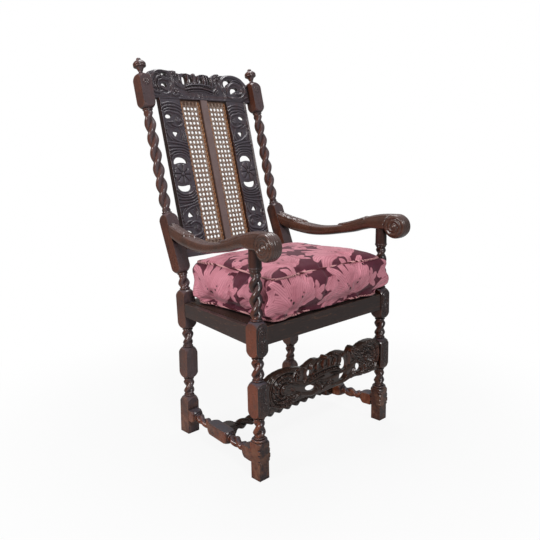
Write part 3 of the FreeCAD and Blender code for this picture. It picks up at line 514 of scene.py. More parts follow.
railTones = dict(oakTones, dark=(0.018, 0.010, 0.009, 1), paintedSheen=(0.070, 0.050, 0.046, 1),
                 red=(0.06, 0.022, 0.014, 1))
railOakX = oak("railOakX", "x", railTones, 0.5, crevice=0.8, coat=0.15, front=0.3, scored=0.4)
railOakY = oak("railOakY", "y", railTones, 0.7, crevice=0.8, coat=0.15, front=0.3, scored=0.4)
muntinTones = dict(oakTones, dark=(0.10, 0.062, 0.055, 1), paintedSheen=(0.24, 0.175, 0.17, 1),
                   red=(0.15, 0.07, 0.05, 1))
muntinOak = oak("muntinOak", "z", muntinTones, 0.9, wear=0.4, crevice=0.6, roughness=0.5, coat=0.1)
armTones = dict(oakTones, dark=(0.042, 0.020, 0.014, 1), paintedSheen=(0.19, 0.140, 0.138, 1),
                red=(0.11, 0.036, 0.018, 1), worn=(0.42, 0.24, 0.17, 1))
armOak = oak("armOak", "y", armTones, 0.6, 0.6, 0.9, roughness=0.25, coat=0.4, front=0.3)
# Painted shadow: the seat cane under the cushion is given near-black oak, standing for the shadow the cushion
# casts on it.
seatCaneShadeTones = dict(oakTones, dark=(0.028, 0.016, 0.011, 1), paintedSheen=(0.05, 0.032, 0.024, 1))
seatCaneShade = oak("paintedShadeSeatCane", "x", seatCaneShadeTones, 0.6, 0.2, 0.5, 0.9, 0.5, 0.0)
holeTones = dict(oakTones, dark=oakTones["crevice"])
holeOak = oak("nailHoleOak", "z", holeTones, 0.1, 0.1, 0.1, 1.0, 0.6, 0.0)
strandCane = cane("agedCane", (0.13, 0.07, 0.045, 1), (0.54, 0.43, 0.36, 1), (0.28, 0.17, 0.12, 1))
panelCane = cane("darkenedCane", (0.035, 0.016, 0.010, 1), (0.20, 0.12, 0.085, 1), (0.10, 0.05, 0.03, 1))
edgingCane = cane("orangeCane", (0.20, 0.065, 0.018, 1), (0.55, 0.24, 0.08, 1), (0.36, 0.13, 0.04, 1))
print("materials made")

nodeFinishes = {"seat_rail_front": railOakX, "seat_rail_rear": railOakX, "front_stretcher": stretcherOak,
                "cross_stretcher": stretcherOak, "crest_rail": crestOak, "back_bottom_rail": crestOak,
                "back_muntin": muntinOak, "seat_cane": seatCaneShade,
                "front_post_left": postOak, "front_post_right": shadedPostOak}
pairFinishes = {"rear_post_": backPostOak, "arm_": armOak, "seat_rail_": railOakY, "side_stretcher_": postOak,
                "back_splat_": splatOak, "cane_panel_": panelCane, "cane_binding_": edgingCane}
for word, side in sides:
    nodeFinishes.update({node + word: material for node, material in pairFinishes.items()})
for node, material in nodeFinishes.items():
    materials = bpy.data.objects[node].data.materials
    materials.clear()
    materials.append(material)
print("frame pieces dressed")

# Carved crest rail. Loops and paths are (across, up the board) in millimetres, read as one
# freely cut design: two C-scrolls, roses and a crown between them.

crest = {
    "outline": [(-225.5, 398), (225.5, 398), (225.5, 466), (220, 469), (216, 475), (209, 481), (202, 488),
                (194, 493), (180, 497), (166, 500.5), (150, 501.5), (130, 500), (110, 497), (97, 496),
                (90, 499), (80, 501), (68, 498), (58, 491), (51, 486), (45, 487), (34, 492.5), (18, 495),
                (2, 493), (-8, 489), (-15, 488), (-21, 492), (-28, 496), (-36, 492), (-40, 487.5),
                (-46, 491), (-60, 494), (-78, 493), (-90, 490), (-97, 491), (-104, 498), (-112, 501),
                (-126, 499.5), (-138, 498), (-148, 498.5), (-166, 500), (-186, 499), (-196, 496),
                (-204, 493.5), (-212, 491), (-218, 485), (-225.5, 478)],
    "holes": [[(-170, 480), (-168, 488), (-160, 493.5), (-147, 494.5), (-138, 489), (-137, 479), (-142, 473),
               (-148, 475), (-151, 481), (-159, 483)],
              [(-178, 444), (-176, 451), (-168, 458), (-155, 461), (-145, 456), (-141, 446), (-144, 436),
               (-152, 431), (-158, 437), (-166, 442)],
              [(-79, 453), (-81, 464), (-80, 476), (-76, 484), (-68, 488), (-61, 485), (-59, 474),
               (-60, 460), (-64, 451), (-72, 450)],
              [(-47, 462), (-48, 470), (-46, 479), (-41, 484), (-36, 484), (-33, 477), (-33, 466),
               (-36, 460), (-42, 459)],
              [(0, 459), (-2, 468), (0, 478), (4, 483), (9, 483), (12, 476), (12, 465), (8, 458)],
              [(34, 457), (34, 467), (35, 477), (39, 484), (43, 483), (45, 475), (45, 463), (40, 455)],
              [(104, 458), (103, 466), (107, 475), (115, 481), (128, 485), (142, 486.5), (151, 481),
               (147, 474), (137, 470), (128, 462), (120, 452), (112, 446), (107, 449)],
              [(129, 428), (130, 440), (137, 449), (149, 455), (163, 457.5), (176, 456), (183, 450),
               (177, 443), (166, 440), (154, 434), (142, 425), (134, 423)]],
    "shares": (0.62, 0.6, 0.85, 0.85, 0.85, 0.85, 0.75, 0.7),   # how far each hole is drawn in
    "ground": 6.5, "back": 22.0, "step": 1.0, "round": 2.2, "undercut": 1.0,
    "band": {"height": 2.2, "top": 406, "fall": 3},
    "leftRose": {"centre": (-118, 423), "radius": 17, "height": 7.0, "squash": 1.25}}
crest["holes"] = drawnIn(crest)
crestCarving = {
    "ridges": [
        # left C-scroll
        ([(-206, 440), (-206, 464), (-197, 483), (-182, 494), (-160, 498), (-142, 496), (-129, 488),
          (-122, 472), (-121, 452), (-126, 436)], 6.5, 7.0),
        ([(-196, 436), (-195, 456), (-186, 470), (-170, 477), (-152, 470), (-137, 464), (-131, 450),
          (-132, 432), (-142, 420), (-158, 414), (-176, 416), (-190, 426)],
         (4, 5.5, 6, 6, 5.5, 5.5, 5, 4), 6.5),
        ([(-184, 432), (-186, 448), (-178, 462), (-160, 466), (-142, 462)], (2.5, 4, 4, 3), 5.5),
        ([(-152, 428), (-164, 432), (-176, 438)], (4, 4, 2.5), 5.0),
        # ribbon from the upper left rose to the crown
        ([(-118, 478), (-106, 468), (-98, 454), (-86, 443), (-70, 436)], (4, 6.5, 6.5, 6, 4), 6.0),
        ([(-116, 464), (-108, 452), (-96, 442)], (3, 4, 3), 5.0),
        ([(-96, 490), (-91, 476), (-90, 462)], (3.5, 5, 4), 5.5),
        # crown: ribs, circlet and bands
        ([(-54, 455), (-56, 470), (-54, 488)], (4.5, 5, 4.5), 7.0),
        ([(-26, 457), (-27, 471), (-23, 488)], (5.5, 5, 4.5), 7.0),
        ([(-10, 457), (-11, 471), (-7, 486)], (5, 5, 4), 6.5),
        ([(18, 457), (20, 471), (16, 489)], (5, 5, 4.5), 6.5),
        ([(28, 456), (31, 470), (28, 487)], (4, 4, 4), 6.0),
        ([(50, 452), (53, 466), (50, 482)], (4.5, 5, 4), 6.5),
        ([(-70, 489), (-58, 491), (-44, 487)], 3.0, 6.0), ([(-6, 488), (12, 491), (36, 488)], 3.5, 6.5),
        ([(-68, 446), (-42, 452), (-10, 454.5), (22, 452), (50, 446)], 3.6, 7.5),
        ([(-74, 434), (-42, 440), (-10, 442), (24, 438), (52, 430)], 3.6, 7.0),
        ([(-64, 427), (-34, 432), (-8, 433.5), (20, 430), (42, 423)], 2.6, 5.5),
        # right rose's ribbon, comma leaf and right C-scroll
        ([(74, 480), (66, 468), (70, 454), (66, 442), (54, 434)], (4, 6, 6, 5.5, 3), 6.0),
        ([(90, 484), (86, 466), (92, 448), (100, 436)], (4, 6, 6, 4), 6.0),
        ([(97, 446), (95, 464), (103, 480), (120, 491), (142, 495), (166, 493), (188, 485), (203, 470),
          (208, 452), (203, 433), (188, 418), (166, 411), (142, 412)], 6.5, 7.0),
        ([(118, 440), (126, 452), (137, 462), (153, 469), (170, 468), (187, 460), (194, 446), (188, 433),
          (174, 428), (160, 429)], (3, 5, 6.5, 7, 6.5, 6, 5.5, 4.5, 3.5), 6.5),
        ([(150, 477), (168, 481), (186, 474)], (3, 4.5, 3), 5.0),
        ([(116, 430), (122, 440), (128, 446)], (3, 4, 3), 5.0),
        ([(104, 404), (107, 416), (103, 430)], (5, 5.5, 3), 6.0),
        ([(112, 420), (128, 414), (156, 408), (190, 410), (216, 418)], (3, 4, 4, 4, 3), 4.5),
        ([(190, 426), (202, 430), (216, 440)], (3, 4.5, 3), 5.0),
        ([(206, 452), (214, 458), (221, 462)], (3, 4, 2.5), 5.0),
        # lower left and the plain band's edge
        ([(-214, 412), (-190, 408), (-166, 409), (-148, 404)], (3, 4, 4, 3), 4.0),
        ([(-172, 424), (-190, 420), (-206, 426), (-216, 438)], (3.5, 5, 5, 3), 5.5),
        ([(-92, 412), (-84, 406), (-70, 404)], (3, 3.5, 2), 3.5)],
    "leaves": [([(-196, 444), (-208, 456), (-215, 470), (-214, 486)], 9, 6.0),
               ([(-190, 488), (-176, 484), (-166, 476)], 5, 5.5),
               ([(60, 424), (68, 428), (74, 436)], 9, 6.0),
               ([(176, 404), (190, 407), (204, 412)], 5, 4.5),
               ([(-40, 403), (-34, 412), (-33, 422)], 5, 3.5), ([(-16, 402), (-15, 412), (-17, 424)], 5, 3.5),
               ([(8, 403), (4, 412), (-2, 420)], 5, 3.5), ([(-62, 404), (-56, 412), (-54, 420)], 4.5, 3.5),
               ([(30, 404), (24, 412), (20, 419)], 4.5, 3.5)],
    "domes": [((-27, 490), 6.5, 7, 8.0)]
             + [((x, 447.6 - (x + 8) ** 2 / 430), 3.4, 3.2, 6.0) for x in range(-62, 50, 9)],
    "roses": [((-112, 487), 13, 8.0, 6), ((80, 488), 13.5, 8.0, 6)],
    "grooves": [([(-112, 478), (-104, 488)], 1.2, 1.5)]}


def crestRelief(x, z):
    # The foot of the board is a raised plain band; the left rose is wider than it is high
    field, band = Relief(x, z), crest["band"]
    field.height += band["height"] * np.clip((band["top"] - z) / band["fall"], 0, 1)
    field.rose(**crest["leftRose"])
    return field.draw(crestCarving)


crestPiece = carvedBoard("crestCarved", crest, crestRelief, toBack, crestOak)
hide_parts("crest_rail")

# Carved splats, drawn once in w, the distance outwards from the rosette, and q, the height above
# or below it, because the lower half mirrors the upper one

splat = {
    "inner": 105.0, "outer": 196.5, "low": -126.0, "high": 398.0, "rosette": (150.5, 132.0),
    "holes": [[(-6, 204), (-4, 211), (6, 216), (18, 216), (30, 211), (36, 202), (32, 194), (20, 192),
               (6, 195)],
              [(-20, 148), (-18, 152), (-6, 153.5), (8, 155), (13, 151), (12, 143), (6, 133), (-1, 127),
               (-6, 131), (-13, 140)],
              [(-29, 37), (-31, 43), (-26, 53), (-14, 60), (2, 62), (17, 59), (27, 50), (30, 41), (28, 36),
               (14, 39), (0, 40.5), (-14, 39)]],
    "shares": (0.6, 0.68, 0.92),   # how far each hole is drawn in
    "ground": 5.5, "back": 15.5, "step": 1.0, "round": 1.8, "undercut": 0.5, "roundEnds": False,
    "rose": {"centre": (0, 0), "radius": 37, "height": 6.2, "petals": 8, "button": 0.17, "turn": 0.3},
    "petalCuts": {"inner": 9, "outer": 34, "width": 2.0, "depth": 2.4, "turn": 5.3},
    "bead": {"height": 8.5, "inset": 3, "half": 3.3}}
splat["holes"] = drawnIn(splat)
splatCarving = {
    "ridges": [
        # arcs round the half-moon, then the long leaf strokes from the inner to the outer edge
        ([(-38, 48), (-30, 62), (-14, 70), (4, 71), (21, 67), (34, 55)], 3.6, 4.2),
        ([(-42, 62), (-26, 75), (-6, 79.5), (16, 78), (36, 68)], 3.6, 4.2),
        ([(-43, 75), (-24, 85), (-2, 88), (20, 87), (39, 82)], 3.8, 4.4),
        ([(-44, 86), (-26, 95), (-4, 98), (18, 98), (39, 97)], 3.8, 4.4),
        ([(-44, 97), (-28, 104), (-6, 109), (16, 112), (39, 114)], 4.0, 4.6),
        ([(-44, 108), (-28, 113), (-10, 117), (10, 126), (26, 138), (39, 150)], (3, 4, 4, 4, 4, 3), 4.6),
        # strokes beside the triangle
        ([(16, 120), (26, 130), (32, 144), (30, 160)], (3, 4, 4, 3), 4.5),
        ([(-30, 120), (-34, 134), (-30, 150), (-22, 162)], (3, 4.5, 4.5, 3), 4.5),
        ([(-43, 120), (-43, 136), (-41, 152)], 3.4, 4.0),
        ([(-16, 126), (-22, 136), (-26, 146)], 2.6, 3.5),
        # scroll round the boss and the outer arcs over it
        ([(8, 176), (-6, 170), (-22, 169), (-36, 176), (-42, 190), (-38, 206), (-24, 215), (-8, 218),
          (8, 222), (24, 219), (37, 209), (41, 194), (38, 178)],
         (3, 4, 4.6, 4.6, 4.6, 4.6, 4.6, 4.6, 4), 5.0),
        ([(24, 184), (12, 184), (0, 186)], 3.0, 4.0),
        ([(-44, 214), (-30, 226), (-8, 230), (14, 231), (32, 224), (40, 214)], 3.8, 4.4),
        ([(-44, 228), (-26, 239), (-2, 242), (22, 240), (39, 231)], 3.8, 4.2),
        ([(-42, 242), (-20, 251), (6, 253), (34, 246)], 3.2, 3.4),
        ([(30, 166), (37, 158), (40, 168)], 2.6, 3.5),
        ([(-2, 164), (14, 168), (26, 176)], (2.5, 3.5, 2.5), 4.0)],
    "domes": [((-21, 191), 13, 14, 5.5)],
    "grooves": [([(-30, 184), (-22, 180), (-13, 186), (-13, 196), (-22, 202), (-29, 196),
                  (-24, 190)], 1.5, 2.6)]}


def splatRelief(side):
    rose, cuts, bead = splat["rose"], splat["petalCuts"], splat["bead"]

    def relief(x, z):
        # The rosette's petals are parted by straight grooves, and the outer edge carries a bead
        w, q = side * x - splat["rosette"][0], z - splat["rosette"][1]
        whole = Relief(w, q)
        whole.height = Relief(w, np.abs(q)).draw(splatCarving)
        whole.rose(**rose)
        for turn in np.radians(np.arange(rose["petals"]) * 360 / rose["petals"] + cuts["turn"]):
            way = np.array([math.cos(turn), math.sin(turn)])
            whole.ridge([way * cuts["inner"], way * cuts["outer"]], cuts["width"], cuts["depth"], True, 1)
        edge = splat["outer"] - bead["inset"] - side * x
        edge = bead["height"] * np.sqrt(np.clip(1 - (edge / bead["half"]) ** 2, 0, 1))
        return np.maximum(whole.height, edge)

    return relief


for word, side in sides:
    inner, outer = sorted((side * splat["inner"], side * splat["outer"]))
    centre = splat["rosette"]
    spec = dict(splat, outline=[(inner, splat["low"]), (outer, splat["low"]),
                                (outer, splat["high"]), (inner, splat["high"])])
    spec["holes"] = [[(side * (centre[0] + w), centre[1] + half * q) for w, q in loop][::side * half]
                     for loop in splat["holes"] for half in (1, -1)]
    piece = carvedBoard("splatCarved_" + word, spec, splatRelief(side), toBack, splatOak)
    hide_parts("back_splat_" + word)

# Carved front stretcher in the upright plane between the front posts

frontStretcher = {
    "outline": [(-267.5, 194), (-246, 194), (-212, 196.5), (-168, 198), (-124, 202), (-97, 200), (-74, 195),
                (74, 194), (97, 199), (124, 202), (168, 198.5), (212, 197), (246, 194), (267.5, 194),
                (267.5, 297), (262, 301), (247, 309), (227, 313.5), (202, 315), (182, 314), (162, 310),
                (150, 305), (142, 306), (132, 312), (120, 314.5), (110, 309.5), (105, 301), (101, 298.5),
                (92, 302), (77, 308), (57, 312.5), (32, 312.5), (14, 309), (5, 308), (-3, 312), (-12, 314),
                (-20, 306.5), (-28, 306), (-43, 312), (-63, 314.5), (-83, 309.5), (-98, 303), (-110, 300),
                (-123, 303), (-138, 308), (-158, 311), (-178, 313.5), (-203, 314.5), (-228, 312),
                (-248, 307), (-260, 301), (-267.5, 297)],
    "holes": [[(62, 248), (63, 262), (67, 276), (72, 286), (80, 286), (91, 276), (98, 262), (97, 248),
               (88, 243), (72, 243)],
              [(-98, 268), (-96, 278), (-88, 286.5), (-80, 284), (-73, 274), (-73, 264), (-84, 260),
               (-94, 262)],
              [(60, 214), (60, 226), (64, 232.5), (78, 233.5), (92, 232), (95, 224), (85, 214), (72, 210)],
              [(-104, 230), (-98, 235), (-82, 235), (-64, 230.5), (-53, 222), (-52, 215), (-64, 213),
               (-84, 217), (-98, 223)],
              [(143, 238), (147, 246), (156, 244), (166, 236), (177, 226), (173, 218), (160, 215.5),
               (148, 220)],
              [(-168, 236), (-166, 247), (-157, 249), (-151, 242), (-155, 233)]],
    "ground": -10.5, "back": 7.0, "step": 1.05, "round": 2.2, "undercut": 4.0, "boldness": 1.35}
frontStretcherCarving = {
    "ridges": [
        # left C-scroll with its leaves
        ([(-158, 303), (-184, 309), (-214, 308), (-242, 298), (-257, 278), (-260, 252), (-252, 228),
          (-234, 209), (-208, 202), (-182, 203), (-160, 210)], 7.0, 8.5),
        ([(-164, 289), (-188, 295), (-214, 292), (-235, 279), (-244, 257), (-239, 234), (-222, 219),
          (-200, 214), (-178, 217)], 6.0, 7.0),
        ([(-178, 276), (-197, 281), (-217, 276), (-228, 259), (-224, 241), (-209, 230),
          (-190, 229)], 5.5, 6.5),
        ([(-188, 266), (-201, 268), (-212, 259), (-210, 245), (-198, 239)], 4.0, 6.0),
        ([(-150, 296), (-162, 284), (-170, 270)], (4, 5.5, 4), 6.0),
        ([(-138, 300), (-146, 284), (-150, 268)], (4, 5, 3), 6.0),
        ([(-122, 300), (-130, 286), (-136, 272)], (3.5, 5, 3), 5.5),
        # ribbons under the crown
        ([(-176, 272), (-154, 263), (-132, 254), (-108, 247), (-78, 244), (-48, 246), (-20, 249)],
         (4, 7, 7.5, 7, 6.5, 5, 3), 7.0),
        ([(16, 249), (36, 245), (56, 239.5), (80, 238), (100, 240), (118, 248), (136, 258)],
         (3, 4.5, 4.4, 4.2, 5, 6, 5), 7.0),
        ([(-136, 222), (-118, 214), (-98, 208), (-72, 205), (-46, 211), (-24, 222)], (5, 7, 7, 6, 6, 3), 6.5),
        ([(20, 208), (46, 203), (74, 204), (102, 209), (122, 217), (136, 232)], (3, 5.5, 6, 6.5, 6, 4), 6.5),
        ([(-40, 238), (-20, 232), (4, 230), (30, 233), (48, 238)], (3, 5, 5.5, 5, 3), 5.5),
        ([(-30, 205), (-12, 212), (8, 214), (26, 218)], (3, 5, 5, 3), 5.0),
        # crown
        ([(-86, 250), (-52, 256), (-14, 258.5), (24, 257), (58, 250)], 3.8, 8.0),
        ([(-80, 268), (-48, 272.5), (-12, 274.5), (24, 273), (56, 267)], 3.4, 7.0),
        ([(-74, 270), (-84, 284), (-78, 298), (-62, 307)], (5, 6, 5.5, 4), 7.5),
        ([(-50, 274), (-58, 288), (-52, 300), (-40, 307)], (4, 5, 5, 4), 7.0),
        ([(-24, 276), (-28, 289), (-22, 303)], (4, 4.6, 4), 7.0),
        ([(2, 276), (4, 289), (0, 303)], (4, 4.6, 4), 7.0),
        ([(26, 275), (34, 288), (30, 300), (16, 307)], (4, 5, 5, 4), 7.0),
        ([(50, 269), (58, 284), (54, 298), (38, 308)], (4.5, 5.5, 5.5, 4), 7.5),
        ([(-104, 296), (-106, 280), (-104, 264), (-112, 252)], (4, 5.5, 5, 3), 6.5),
        ([(103, 294), (106, 276), (105, 258)], (4, 5.5, 4), 6.5),
        ([(66, 292), (76, 298), (90, 296)], 4.0, 6.5),
        # right C-scroll
        ([(148, 296), (174, 306), (206, 309), (236, 302), (254, 285), (260, 260), (254, 235), (239, 213),
          (214, 203), (188, 203)], 7.0, 8.5),
        ([(160, 288), (184, 296), (210, 293), (230, 281), (241, 261), (238, 239), (225, 221), (205, 214),
          (186, 216)], 6.0, 7.0),
        ([(176, 276), (196, 282), (215, 275), (225, 259), (222, 242), (209, 230), (192, 229)], 5.5, 6.5),
        ([(186, 262), (199, 268), (211, 260), (210, 246), (198, 239)], 4.0, 6.0),
        ([(118, 290), (126, 276), (140, 264)], (4, 5.5, 4), 6.0),
        ([(140, 284), (154, 272), (166, 258)], (4, 5.5, 4), 6.0),
        ([(150, 256), (166, 248), (182, 240)], (3, 4.5, 3), 5.5)],
    "leaves": [([(-186, 224), (-168, 217), (-150, 217), (-132, 226)], 9.5, 8.0),
               ([(144, 213), (162, 207), (182, 212), (196, 224)], 9.0, 7.5),
               ([(112, 206), (122, 212), (130, 224)], 6.0, 7.0),
               ([(-64, 240), (-46, 232), (-36, 216)], 7.0, 6.0),
               ([(64, 206), (80, 212), (98, 220)], 5.0, 6.0),
               ([(-252, 300), (-262, 288), (-265, 272)], 5.0, 6.0),
               ([(252, 300), (262, 288), (265, 272)], 5.0, 6.0),
               ([(-252, 216), (-262, 208), (-264, 198)], 5.0, 5.5),
               ([(252, 216), (262, 208), (264, 198)], 5.0, 5.5)],
    "domes": [((-199, 254), 10, 12, 7.5), ((199, 254), 10, 12, 7.5), ((-10, 308), 8, 7, 9.0)]
             + [((x, 265 - (x + 12) ** 2 / 700), 4.2, 4.0, 7.0) for x in range(-76, 56, 11)],
    "roses": [((119, 303), 14, 9.0, 6), ((-136, 293), 13, 8.0, 6), ((8, 220), 11, 6.0, 6)],
    "cuts": {"centres": ((-199, 254), (199, 254)), "count": 15, "inner": 16, "outer": 62, "lean": 0.42,
             "widths": (1.0, 2.6, 1.2), "depth": 3.6}}


def frontStretcherRelief(x, z):
    # The two scrolls are cut across by leaning grooves, so that their rings read as leaves
    field = Relief(x, z)
    field.draw(frontStretcherCarving)
    cuts = frontStretcherCarving["cuts"]
    for (cx, cz), sign in zip(cuts["centres"], (-1, 1)):
        for turn in np.linspace(0, 2 * np.pi, cuts["count"], endpoint=False):
            radius = np.array([cuts["inner"], (cuts["inner"] + cuts["outer"]) / 2, cuts["outer"]])
            angle = turn + sign * cuts["lean"] * np.array([0.0, 0.35, 1.0])
            path = np.stack([cx + radius * np.cos(angle), cz + radius * np.sin(angle)], -1)
            field.ridge(path, cuts["widths"], cuts["depth"], groove=True, power=1)
    return frontStretcher["boldness"] * np.maximum(field.height, -1.0)


stretcherPiece = carvedBoard("frontStretcherCarved", frontStretcher, frontStretcherRelief, betweenPosts,
                             stretcherOak)
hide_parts("front_stretcher")

# Woven cane: pairs of strands up and across the panels, over and under each other in turn

caneWeave = {"first": (27.95, -104.8), "pitch": (15.9, 17.2), "pairs": (5, 29), "split": 1.75, "wide": 1.35,
             "thick": 0.55, "lift": 0.7, "face": 15.0, "across": (16.0, 103.5), "up": (-122.0, 396.0),
             "step": 2.8, "round": 6}
caneEdging = {"middles": (20.6, 98.2), "swing": 4.6, "pitch": 17.2, "low": -118.0, "high": 392.0, "wide": 1.5,
              "thick": 1.0, "lift": 0.5, "face": 14.6, "step": 2.15}


def strands(way):
    # The places are in pairs; each strand's height is a cosine wave along its way, and the next
    # pair's wave is opposite
    k, phase = (0, 0.0) if way == "up" else (1, np.pi)
    cosine, sine = circle(caneWeave["round"])
    middles = caneWeave["first"][k] + caneWeave["pitch"][k] * np.arange(caneWeave["pairs"][k])
    along = np.arange(*caneWeave[way], caneWeave["step"])[:, None] + 0 * cosine
    wave = np.cos(np.pi * (along - caneWeave["first"][1 - k]) / caneWeave["pitch"][1 - k] + phase)
    grids = []
    for number, middle in enumerate(middles):
        depth = caneWeave["face"] + caneWeave["lift"] * wave * (-1) ** number + caneWeave["thick"] * sine
        for place in (middle - caneWeave["split"], middle + caneWeave["split"]):
            across = place + caneWeave["wide"] * cosine + 0 * along
            grids.append(np.stack([across, depth, along] if way == "up" else [along, depth, across], -1))
    return ringMesh(grids)


def edgingStrands():
    # Two strands swing past each other like opposite sine waves and make a row of lozenges
    cosine, sine = circle(caneWeave["round"])
    along = np.arange(caneEdging["low"], caneEdging["high"], caneEdging["step"])[:, None] + 0 * cosine
    turn = np.pi * (along - caneEdging["low"]) / caneEdging["pitch"]
    grids = []
    for middle in caneEdging["middles"]:
        for sign in (-1, 1):
            across = middle + sign * caneEdging["swing"] * np.cos(turn) + caneEdging["wide"] * cosine
            lift = sign * caneEdging["lift"] * np.sin(2 * turn)
            depth = caneEdging["face"] + lift + caneEdging["thick"] * sine
            grids.append(np.stack([across, depth, along], -1))
    return ringMesh(grids)


def addCane(name, side, strandMesh, material):
    points, faces = strandMesh
    tidyMesh(addMesh(name, toBack(points * [side * mm, mm, mm]), faces, material))


for word, side in sides:
    addCane("caneStrands_up_" + word, side, strands("up"), strandCane)
    addCane("caneStrands_across_" + word, side, strands("across"), strandCane)
for word, side in sides:
    addCane("caneEdging_" + word, side, edgingStrands(), edgingCane)
print("cane woven")

# Thin carved faces on the blocks: leaves and roses, from the middle of the face across and upwards

blockFaces = {
    "frontLow": {"size": (34, 98), "at": 199, "leaves": [([(-11, 8), (-4, 24), (2, 44), (10, 60)], 9, 3.4),
                                                        ([(12, 12), (8, 28), (12, 42)], 7, 3.0),
                                                        ([(-12, 38), (-8, 56), (-12, 74)], 7, 3.0),
                                                        ([(10, 62), (0, 78), (-8, 90)], 8, 3.2)],
                 "ridges": [([(4, 76), (12, 82), (13, 92)], 3.0, 2.6), ([(-14, 6), (-14, 30)], 2.4, 2.2)]},
    "frontSeat": {"size": (34, 86), "at": 386, "roses": [((0, 62), 13, 3.6, 8)],
                  "leaves": [([(0, 3), (-2, 20), (0, 42)], 10, 3.6),
                             ([(-12, 10), (-10, 26), (-13, 42)], 6, 2.8),
                             ([(12, 8), (10, 26), (13, 42)], 6, 2.8)],
                  "ridges": [([(-15, 46), (-14, 66), (-8, 79), (0, 83), (8, 79), (14, 66), (15, 46)],
                              2.4, 2.8)]},
    "crest": {"size": (32, 86), "at": 368, "roses": [((0, 77), 13, 3.8, 8)]}}


def blockFace(name, key, centre, front, place, material):
    # One face: its ground lies just inside the block, the relief rises from it
    face = blockFaces[key]
    half, low, high = face["size"][0] / 2, face["at"], face["at"] + face["size"][1]
    spec = {"outline": [(centre - half, low), (centre + half, low), (centre + half, high),
                        (centre - half, high)],
            "holes": [], "ground": front + 0.2, "back": front + 3.0, "step": 0.8, "round": 1.2,
            "undercut": 0.0}

    def relief(x, z):
        return Relief(x - centre, z - low).draw(face)

    return carvedBoard(name, spec, relief, place, material)


crestBlock = {"middle": 248.0, "face": -22.5}
# The carved faces on the fronts of the blocks wear the shaded copy of the post oak: painted shade.
for word, side in sides:
    for key in ("frontLow", "frontSeat"):
        blockFace(key + "Carving_" + word, key, side * frontSpread / mm, -stock / mm / 2, betweenPosts,
                  shadedPostOak)
    blockFace("crestBlockCarving_" + word, "crest", side * crestBlock["middle"], crestBlock["face"], toBack,
              backPostOak)

# Two old nail holes beside the outer arris of the left crest block, as shallow dark dimples: flat
# buttons whose rim sinks into the face and whose middle is dished

nailHoles = {"radius": 1.9, "places": [(-265.8, 402.0), (-265.2, 375.0)], "round": 20,
             "shares": (1.0, 1.0, 0.8, 0.4, 0.05), "depths": (0.6, -0.12, -0.2, -0.08, -0.05)}


def makeNailHoles():
    cosine, sine = circle(nailHoles["round"])
    radius = nailHoles["radius"] * np.array(nailHoles["shares"])[:, None]
    depth = crestBlock["face"] + np.array(nailHoles["depths"])[:, None] + 0 * cosine
    points, faces = ringMesh([np.stack([x + radius * cosine, depth, z + radius * sine], -1)
                              for x, z in nailHoles["places"]])
    tidyMesh(addMesh("crestBlockNailHoles", toBack(points * mm), faces, holeOak))


makeNailHoles()

# Arms: the side outline is followed from the rear block over the top, round the scroll and back
# along the underside; from every outline point half a section leads to the middle line

arm = {"top": [(450.6, 722.2), (401.6, 708.3), (356, 699.2), (299, 690.6), (247.1, 686.6), (193, 690.3),
               (153.1, 696.8), (113.8, 706.9), (69.3, 720.7), (24.8, 732.6), (-15.1, 738.6), (-60, 740)],
       "under": [(432.0, 673.3), (384.5, 659.5), (321.8, 650), (273.4, 648), (219.2, 652.1), (162.2, 660.9),
                 (105.2, 671), (71, 680.2), (29.5, 689), (4, 689), (-20.2, 689), (-31.7, 671.7)],
       "eye": (-60, 700), "radius": 40, "scroll": (90, 315), "half": 23, "rear": 290.0, "taper": 42 / 470,
       "round": 2.7, "seat": 7.0, "boxy": 1.9, "stations": 210, "scrollStations": 120, "across": 72}
# Places are (run along the outline from the rear end, girth from the crest line)
armCarving = {"sideLeaves": [([(-8, 20), (30, 17), (66, 22), (98, 14)], 13, 4.2),
                             ([(300, 6), (330, 16), (370, 19), (412, 17)], 12, 3.8)],
              "middleLeaves": [([(-8, 0), (40, 0), (84, 0), (134, 0)], 17, 5.4),
                               ([(283, 0), (320, 0), (366, 0), (420, 0)], 15, 4.6)],
              "reeds": {"from": 395, "to": 618, "pitch": 7.6, "height": 1.9, "reach": 30},
              "ground": {"sunk": 1.4, "to": 470},
              "collar": {"run": 398, "half": 4.0, "height": 2.0, "reach": 34},
              "volute": {"pitch": 13.5, "start": 0.30, "height": 5.6, "sunk": 3.6, "reach": 43},
              "eye": {"radius": 7.5, "height": 4.6}}


def armOutline():
    # Outline points and their middle points: top, scroll and underside, rear to rear
    share = np.linspace(0, 1, arm["stations"])

    def even(points):
        path = smoothPath(points, 12)
        length = runLength(path)
        return np.stack([np.interp(share * length[-1], length, path[:, k]) for k in (0, 1)], -1)

    top, under = even(arm["top"]), even(arm["under"])
    middle = (top + under) / 2
    turn = np.radians(np.linspace(*arm["scroll"], arm["scrollStations"])[1:-1])
    eye = np.array(arm["eye"], float)
    blend = soften((share - 0.8) / 0.2)[:, None]
    middle = middle * (1 - blend) + (eye + (middle - eye) * 0.35 * (1 - blend)) * blend
    scroll = eye + arm["radius"] * np.stack([np.cos(turn), np.sin(turn)], -1)
    outline = np.vstack([top, scroll, under[::-1]])
    centres = np.vstack([middle, np.repeat(eye[None], len(scroll), 0), middle[::-1]])
    return outline, centres


